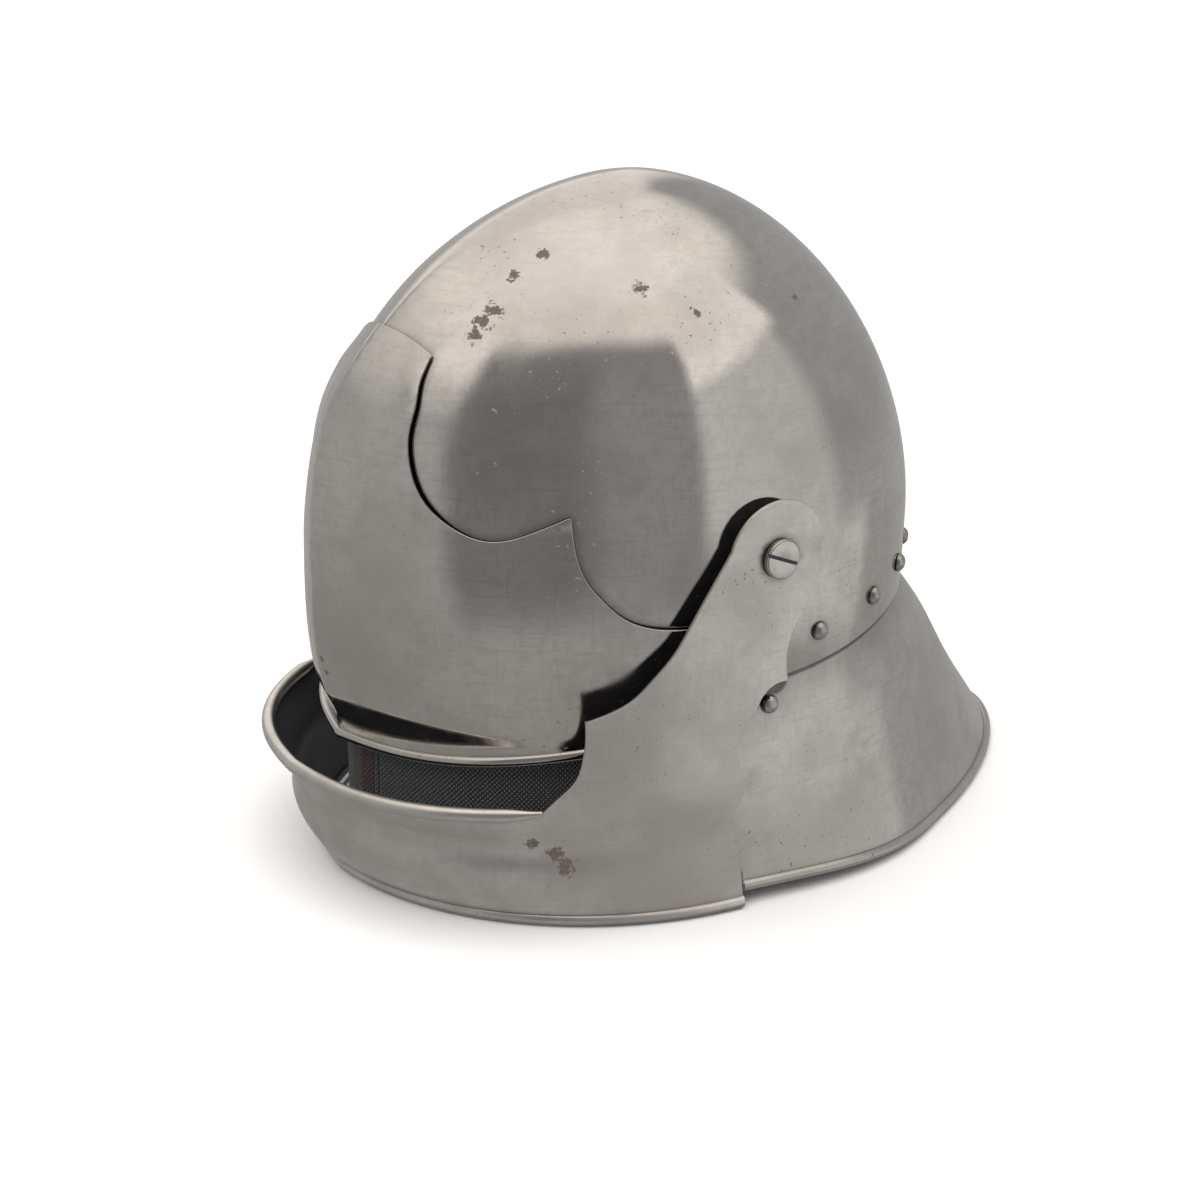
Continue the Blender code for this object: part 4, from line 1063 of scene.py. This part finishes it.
def steel(name, mirror, satin, rust=(), pitted=0.0, tint=1.0, shaded_edge=False):
    """Polished plate: cloudy polish, brushed lines, fine scratches, pin pits and single rust stains, with
    painted shade darkening crevices and, where asked, the guard under the edges of the plates over it.
    """
    material, nodes, shader = new_material(name)
    cloud = nodes.noise(15.0, 6.0, 0.62)
    patches = nodes.noise(42.0, 5.0, 0.65)
    brushed = nodes.noise(55.0, 4.0, 0.7, nodes.stretched((1.0, 1.0, 16.0)))
    crossed = nodes.noise(48.0, 3.0, 0.7, nodes.stretched((14.0, 14.0, 1.0), (0.35, 0.2, 0.6)))
    fine = nodes.noise(230.0, 5.0, 0.7)
    base = tuple(part * tint for part in STEEL)
    dull = tuple(part * tint for part in STEEL_DULL)
    colour = nodes.mix(nodes.ramp(cloud, 0.36, 0.70), base, dull)
    for value, low, high, share in (
        (patches, 0.48, 0.72, 0.75),
        (fine, 0.45, 0.70, 0.55),
        (brushed, 0.46, 0.74, 0.65),
        (crossed, 0.50, 0.74, 0.60),
    ):
        colour = nodes.mix(nodes.ramp(value, low, high, 0.0, share), colour, dull)
    smudge = nodes.ramp(nodes.noise(21.0, 5.0, 0.7), 0.52, 0.68)
    rough = nodes.ramp(cloud, 0.35, 0.72, mirror, satin)
    rough = nodes.maths("ADD", rough, nodes.ramp(patches, 0.4, 0.8, -0.015, 0.06))
    rough = nodes.maths("ADD", rough, nodes.ramp(brushed, 0.45, 0.8, -0.01, 0.035))
    rough = nodes.maths("ADD", rough, nodes.maths("MULTIPLY", smudge, SMUDGE_ROUGH))
    pits = nodes.ramp(nodes.noise(560.0, 2.0, 0.5), 0.68 - pitted, 0.71 - pitted)
    rusty = nodes.maths("MULTIPLY", pits, nodes.ramp(nodes.noise(30.0, 2.0), 0.50, 0.62, 0.0, 0.8))
    ragged = nodes.ramp(nodes.noise(330.0, 5.0, 0.75), 0.28, 0.72, -0.75, 0.95)
    for place, radius in rust:
        rusty = nodes.maths("MAXIMUM", rusty, nodes.spot(tuple(place), (radius,) * 3, ragged))
    # Painted shade: ambient occlusion darkens the base colour in crevices and at plate edges. On the guard,
    # the distance to the edges over it adds a thin dark line and a softer darkening below them.
    shaded = nodes.add("ShaderNodeAmbientOcclusion", samples=2)
    nodes.put(shaded, "Distance", CREVICE_SHADE_REACH)
    painted_shade = nodes.ramp(shaded.outputs["AO"], 0.80, 0.35)
    if shaded_edge:
        away = nodes.add("ShaderNodeAttribute", attribute_name="from_edge")
        thin = nodes.ramp(away.outputs["Fac"], EDGE_SHADE, EDGE_SHADE * 0.62)
        soft = nodes.ramp(away.outputs["Fac"], EDGE_SHADE * 5, 0.0, 0.0, 0.3)
        painted_shade = nodes.maths("MAXIMUM", painted_shade, nodes.maths("MAXIMUM", thin, soft))
    colour = nodes.mix(nodes.maths("MULTIPLY", painted_shade, 0.8), colour, CREVICE_SHADE_COLOUR)
    nodes.put(shader, "Base Color", nodes.mix(nodes.maths("MULTIPLY", rusty, 0.9), colour, RUST))
    nodes.put(shader, "Metallic", nodes.ramp(rusty, 0.0, 1.0, 1.0, 0.35))
    nodes.put(shader, "Roughness", nodes.maths("MAXIMUM", rough, nodes.maths("MULTIPLY", rusty, 0.6)))
    normal = nodes.bump(nodes.noise(16.0, 2.0, 0.5), 0.3, 0.0006)
    normal = nodes.bump(fine, 0.035, 0.0002, normal)
    normal = nodes.bump(crossed, 0.05, 0.00012, normal)
    normal = nodes.bump(brushed, 0.03, 0.00012, normal)
    normal = nodes.bump(nodes.maths("MULTIPLY", rusty, ragged), 0.5, -0.0003, normal)
    nodes.put(shader, "Normal", normal)
    return material


def dark_inside():
    """The plates' inner sides: dark and rough."""
    material, nodes, shader = new_material("dark_inner_sides")
    cloud = nodes.noise(30.0, 5.0, 0.65)
    nodes.put(shader, "Base Color", nodes.mix(cloud, (0.052, 0.052, 0.066), (0.115, 0.113, 0.126)))
    nodes.put(shader, "Metallic", 0.6)
    nodes.put(shader, "Roughness", nodes.ramp(cloud, 0.3, 0.7, 0.42, 0.6))
    nodes.put(shader, "Normal", nodes.bump(nodes.noise(300.0), 0.1, 0.0003))
    return material


# The cloth at the sight gap: a brown strip on the middle, then a double seam, then dark canvas
THREAD = 0.0010
BROWN_HALF_WIDTH = 0.0060
SEAM_PLACES = (0.0070, 0.0098)
SEAM_WIDTH = 0.0009


def cloth(name):
    """Dark grey-green canvas of fine threads, with a brown strip between two seams on the middle."""
    material, nodes, shader = new_material(name)
    split = nodes.add("ShaderNodeSeparateXYZ")
    nodes.put(split, 0, nodes.place)
    ahead = nodes.maths("SUBTRACT", float(PIVOT[1]), split.outputs["Y"])
    round_it = nodes.maths("MULTIPLY", nodes.maths("ARCTAN2", split.outputs["X"], ahead), LINING_THROAT_REACH)
    threads = []
    for way in ("ADD", "SUBTRACT"):
        across = nodes.maths(way, round_it, split.outputs["Z"])
        across = nodes.maths("MULTIPLY", across, math.pi / THREAD)
        threads.append(nodes.ramp(nodes.maths("SINE", across), -1.0, 1.0))
    weave = nodes.maths("MULTIPLY", *threads)
    colour = nodes.mix(nodes.ramp(weave, 0.05, 0.8), (0.028, 0.029, 0.033), (0.235, 0.240, 0.248))
    worn = nodes.ramp(nodes.noise(26.0, 4.0), 0.3, 0.75, 0.15, 0.6)
    colour = nodes.mix(worn, colour, (0.066, 0.070, 0.074))
    aside = nodes.maths("ABSOLUTE", split.outputs["X"])
    strip = nodes.ramp(aside, BROWN_HALF_WIDTH + 0.0004, BROWN_HALF_WIDTH - 0.0004)
    colour = nodes.mix(strip, colour, (0.066, 0.040, 0.036))
    seams = None
    for place in SEAM_PLACES:
        near = nodes.maths("ABSOLUTE", nodes.maths("SUBTRACT", aside, place))
        line = nodes.ramp(near, SEAM_WIDTH, 0.0)
        seams = line if seams is None else nodes.maths("MAXIMUM", seams, line)
    colour = nodes.mix(nodes.maths("MULTIPLY", seams, 0.75), colour, (0.008, 0.008, 0.009))
    nodes.put(shader, "Base Color", colour)
    nodes.put(shader, "Roughness", 0.9)
    nodes.put(shader, "Sheen Weight", 0.2)
    normal = nodes.bump(weave, 0.9, 0.0005)
    nodes.put(shader, "Normal", nodes.bump(seams, 0.8, -0.0006, normal))
    return material


# The camera at the photograph's viewing angle
VIEW_AZIMUTH = math.radians(56.0)
VIEW_ELEVATION = math.radians(20.2)
VIEW_ROLL = math.radians(1.0)
VIEW_DISTANCE = 0.857
VIEW_LENS = 65.0
AIM_RIGHT = -0.006
AIM_UP = -0.0462


def make_camera():
    back = Vector((
        math.sin(VIEW_AZIMUTH) * math.cos(VIEW_ELEVATION),
        -math.cos(VIEW_AZIMUTH) * math.cos(VIEW_ELEVATION),
        math.sin(VIEW_ELEVATION),
    ))
    level = Vector((math.cos(VIEW_AZIMUTH), math.sin(VIEW_AZIMUTH), 0))
    upright = back.cross(level)
    right = level * math.cos(VIEW_ROLL) + upright * math.sin(VIEW_ROLL)
    up = upright * math.cos(VIEW_ROLL) - level * math.sin(VIEW_ROLL)
    aim = Vector(PIVOT) + right * AIM_RIGHT + up * AIM_UP
    data = bpy.data.cameras.new("camera")
    data.lens = VIEW_LENS
    data.sensor_width = 36
    camera = bpy.data.objects.new("camera", data)
    place = Matrix((right, up, back)).transposed().to_4x4()
    camera.matrix_world = Matrix.Translation(aim + back * VIEW_DISTANCE) @ place
    bpy.context.scene.collection.objects.link(camera)
    bpy.context.scene.camera = camera


FLOOR_HALF = 9.0
FLOOR_DROP = 0.0004


def make_stage():
    shape = bmesh.new()
    bmesh.ops.create_grid(shape, x_segments=1, y_segments=1, size=FLOOR_HALF)
    floor = new_object("floor", shape)
    floor.location.z = -FLOOR_DROP
    floor.visible_glossy = False
    material, nodes, shader = new_material("pale_floor")
    nodes.put(shader, "Base Color", nodes.mix(nodes.noise(1.5), (0.80, 0.80, 0.80), (0.82, 0.82, 0.82)))
    nodes.put(shader, "Roughness", 0.95)
    nodes.put(shader, "Specular IOR Level", 0.0)
    floor.data.materials.append(material)
    shape = bmesh.new()
    bmesh.ops.create_uvsphere(shape, u_segments=32, v_segments=16, radius=FLOOR_HALF * 1.3)
    backdrop = new_object("backdrop", shape)
    for ray in ("diffuse", "glossy", "transmission", "shadow", "volume_scatter"):
        setattr(backdrop, "visible_" + ray, False)
    material, nodes, shader = new_material("white_backdrop")
    nodes.put(shader, "Base Color", (0.0, 0.0, 0.0, 1.0))
    nodes.put(shader, "Emission Color", (1.0, 1.0, 1.0, 1.0))
    nodes.put(shader, "Emission Strength", 1.0)
    backdrop.data.materials.append(material)


# The studio's light by height above the horizon, in degrees
SKY = (
    ("height", "red", "green", "blue"),
    (-90, 0.36, 0.35, 0.34),
    (-30, 0.38, 0.37, 0.36),
    (0, 0.47, 0.46, 0.45),
    (30, 0.50, 0.49, 0.48),
    (45, 0.80, 0.76, 0.71),
    (55, 1.12, 1.05, 0.97),
    (90, 1.32, 1.25, 1.18),
)
# Large soft panels of a plain studio, each over the ones before it: its middle and half width round the
# helmet, its lower and upper height and how soft its edge is, in degrees, then its light, and how much
# of it covers what is under it
PANELS = (
    ("middle", "half", "low", "high", "soft", "red", "green", "blue", "cover"),
    (-45, 105, -110, -25, 10, 0.37, 0.36, 0.35, 0.8),
    (80, 45, -110, -25, 12, 0.43, 0.41, 0.39, 0.85),
    (135, 30, -25, -5, 10, 0.76, 0.74, 0.72, 0.85),
    (125, 30, -5, 35, 14, 0.72, 0.70, 0.68, 0.8),
    (190, 40, -10, 45, 10, 0.44, 0.435, 0.43, 1.0),
    (-105, 25, 10, 60, 10, 1.05, 0.98, 0.92, 1.0),
    (125, 30, 35, 65, 6, 1.12, 1.07, 1.01, 1.0),
    (60, 60, 45, 65, 8, 1.10, 1.02, 0.95, 0.9),
    (60, 35, -20, 50, 8, 0.34, 0.325, 0.32, 1.0),
    (45, 20, -15, 45, 14, 0.20, 0.195, 0.205, 0.8),
)
EDGE_WAVE = 3.0
WAVE_SCALE = 3.2


def make_sky():
    """A plain studio drawn by direction: light above, grey walls, large soft boxes, one dark screen."""
    world = bpy.data.worlds.new("studio")
    bpy.context.scene.world = world
    world.use_nodes = True
    nodes = Nodes(world.node_tree, "Generated")
    split = nodes.add("ShaderNodeSeparateXYZ")
    nodes.put(split, 0, nodes.place)
    x, y, z = split.outputs
    degrees = 180 / math.pi
    wave = nodes.maths("MULTIPLY", nodes.maths("SUBTRACT", nodes.noise(WAVE_SCALE, 2.0, 0.5), 0.5), EDGE_WAVE)
    height = nodes.maths("MULTIPLY", nodes.maths("ARCSINE", z), degrees)
    height = nodes.maths("ADD", height, wave)
    round_it = nodes.maths("MULTIPLY", nodes.maths("ARCTAN2", x, nodes.maths("MULTIPLY", y, -1.0)), degrees)
    round_it = nodes.maths("ADD", round_it, wave)

    def step(value, edge, soft):
        return nodes.ramp(value, edge - soft / 2, edge + soft / 2)

    def beside(middle):
        """Degrees to either side of a direction."""
        wrapped = nodes.add("ShaderNodeMath", operation="WRAP")
        nodes.put(wrapped, 0, nodes.maths("SUBTRACT", round_it, middle))
        nodes.put(wrapped, 1, 180.0)
        nodes.put(wrapped, 2, -180.0)
        return nodes.maths("ABSOLUTE", wrapped.outputs[0])

    colour = tuple(SKY[1][1:])
    for before, after in zip(SKY[1:], SKY[2:]):
        share = nodes.add("ShaderNodeMapRange")
        nodes.put(share, "Value", height)
        nodes.put(share, "From Min", before[0])
        nodes.put(share, "From Max", after[0])
        colour = nodes.mix(share.outputs["Result"], colour, tuple(after[1:]))
    for middle, half, low, high, soft, red, green, blue, cover in PANELS[1:]:
        within = nodes.maths("MULTIPLY", step(beside(middle), half, -soft), step(height, low, soft))
        within = nodes.maths("MULTIPLY", within, step(height, high, -soft))
        colour = nodes.mix(nodes.maths("MULTIPLY", within, cover), colour, (red, green, blue))
    background = world.node_tree.nodes["Background"]
    nodes.put(background, "Color", colour)
    nodes.put(background, "Strength", 1.0)


def make_lamp(name, kind, direction, power, spread):
    """A soft lamp for cloth, floor and dark sides. Polished steel mirrors the sky alone."""
    data = bpy.data.lights.new(name, kind)
    data.energy = power
    if kind == "SUN":
        data.angle = math.radians(spread)
    else:
        data.size = spread
    lamp = bpy.data.objects.new(name, data)
    lamp.location = Vector(PIVOT) + Vector(direction)
    lamp.rotation_euler = Vector(direction).to_track_quat("Z", "Y").to_euler()
    lamp.visible_glossy = False
    bpy.context.scene.collection.objects.link(lamp)


def make_light():
    make_sky()
    make_lamp("overhead", "SUN", (0.4, -0.5, 2.4), 1.9, 70)
    make_lamp("front_fill", "AREA", (0.9, -1.8, 0.9), 14.0, 1.6)
    view = bpy.context.scene.view_settings
    view.view_transform = "Standard"
    view.look = "None"


def main():
    make_camera()
    inside = dark_inside()
    skull_steel = steel("skull_steel", 0.035, 0.13, rust_places(head_point, SKULL_RUST), 0.006)
    guard_steel = steel("guard_steel", 0.16, 0.28, pitted=0.003, shaded_edge=True)
    visor_steel = steel("visor_steel", 0.045, 0.15, rust_places(visor_point, VISOR_RUST), 0.005)
    bevor_steel = steel("bevor_steel", 0.27, 0.39, rust_places(bevor_point, BEVOR_RUST), 0.005, 1.13)
    plates = (
        ("skull", make_skull(), "root", skull_steel),
        ("neck_guard", make_guard(), "root", guard_steel),
        ("visor", make_visor(), "visor", visor_steel),
        ("bevor", make_bevor(), "bevor", bevor_steel),
    )
    for node, piece, body, finish in plates:
        piece.data.materials.append(finish)
        piece.data.materials.append(inside)
        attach(piece, body)
        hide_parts(node)
    dull = steel("rivet_steel", 0.22, 0.34, pitted=0.01, tint=0.72)
    for rivet in make_rivets():
        rivet.data.materials.append(dull)
        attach(rivet, "root")
    bright = steel("bright_steel", 0.24, 0.34, tint=1.25)
    for side, sign in (("left", 1), ("right", -1)):
        screw = make_screw(side, sign)
        screw.data.materials.append(bright)
        screw.data.materials.append(inside)
        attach(screw, "root")
        bpy.data.objects["pivot_nut_" + side].material_slots[0].material = bright
    lining = make_lining()
    lining.data.materials.append(cloth("dark_cloth"))
    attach(lining, "root")
    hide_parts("lining")
    make_stage()
    make_light()


main()
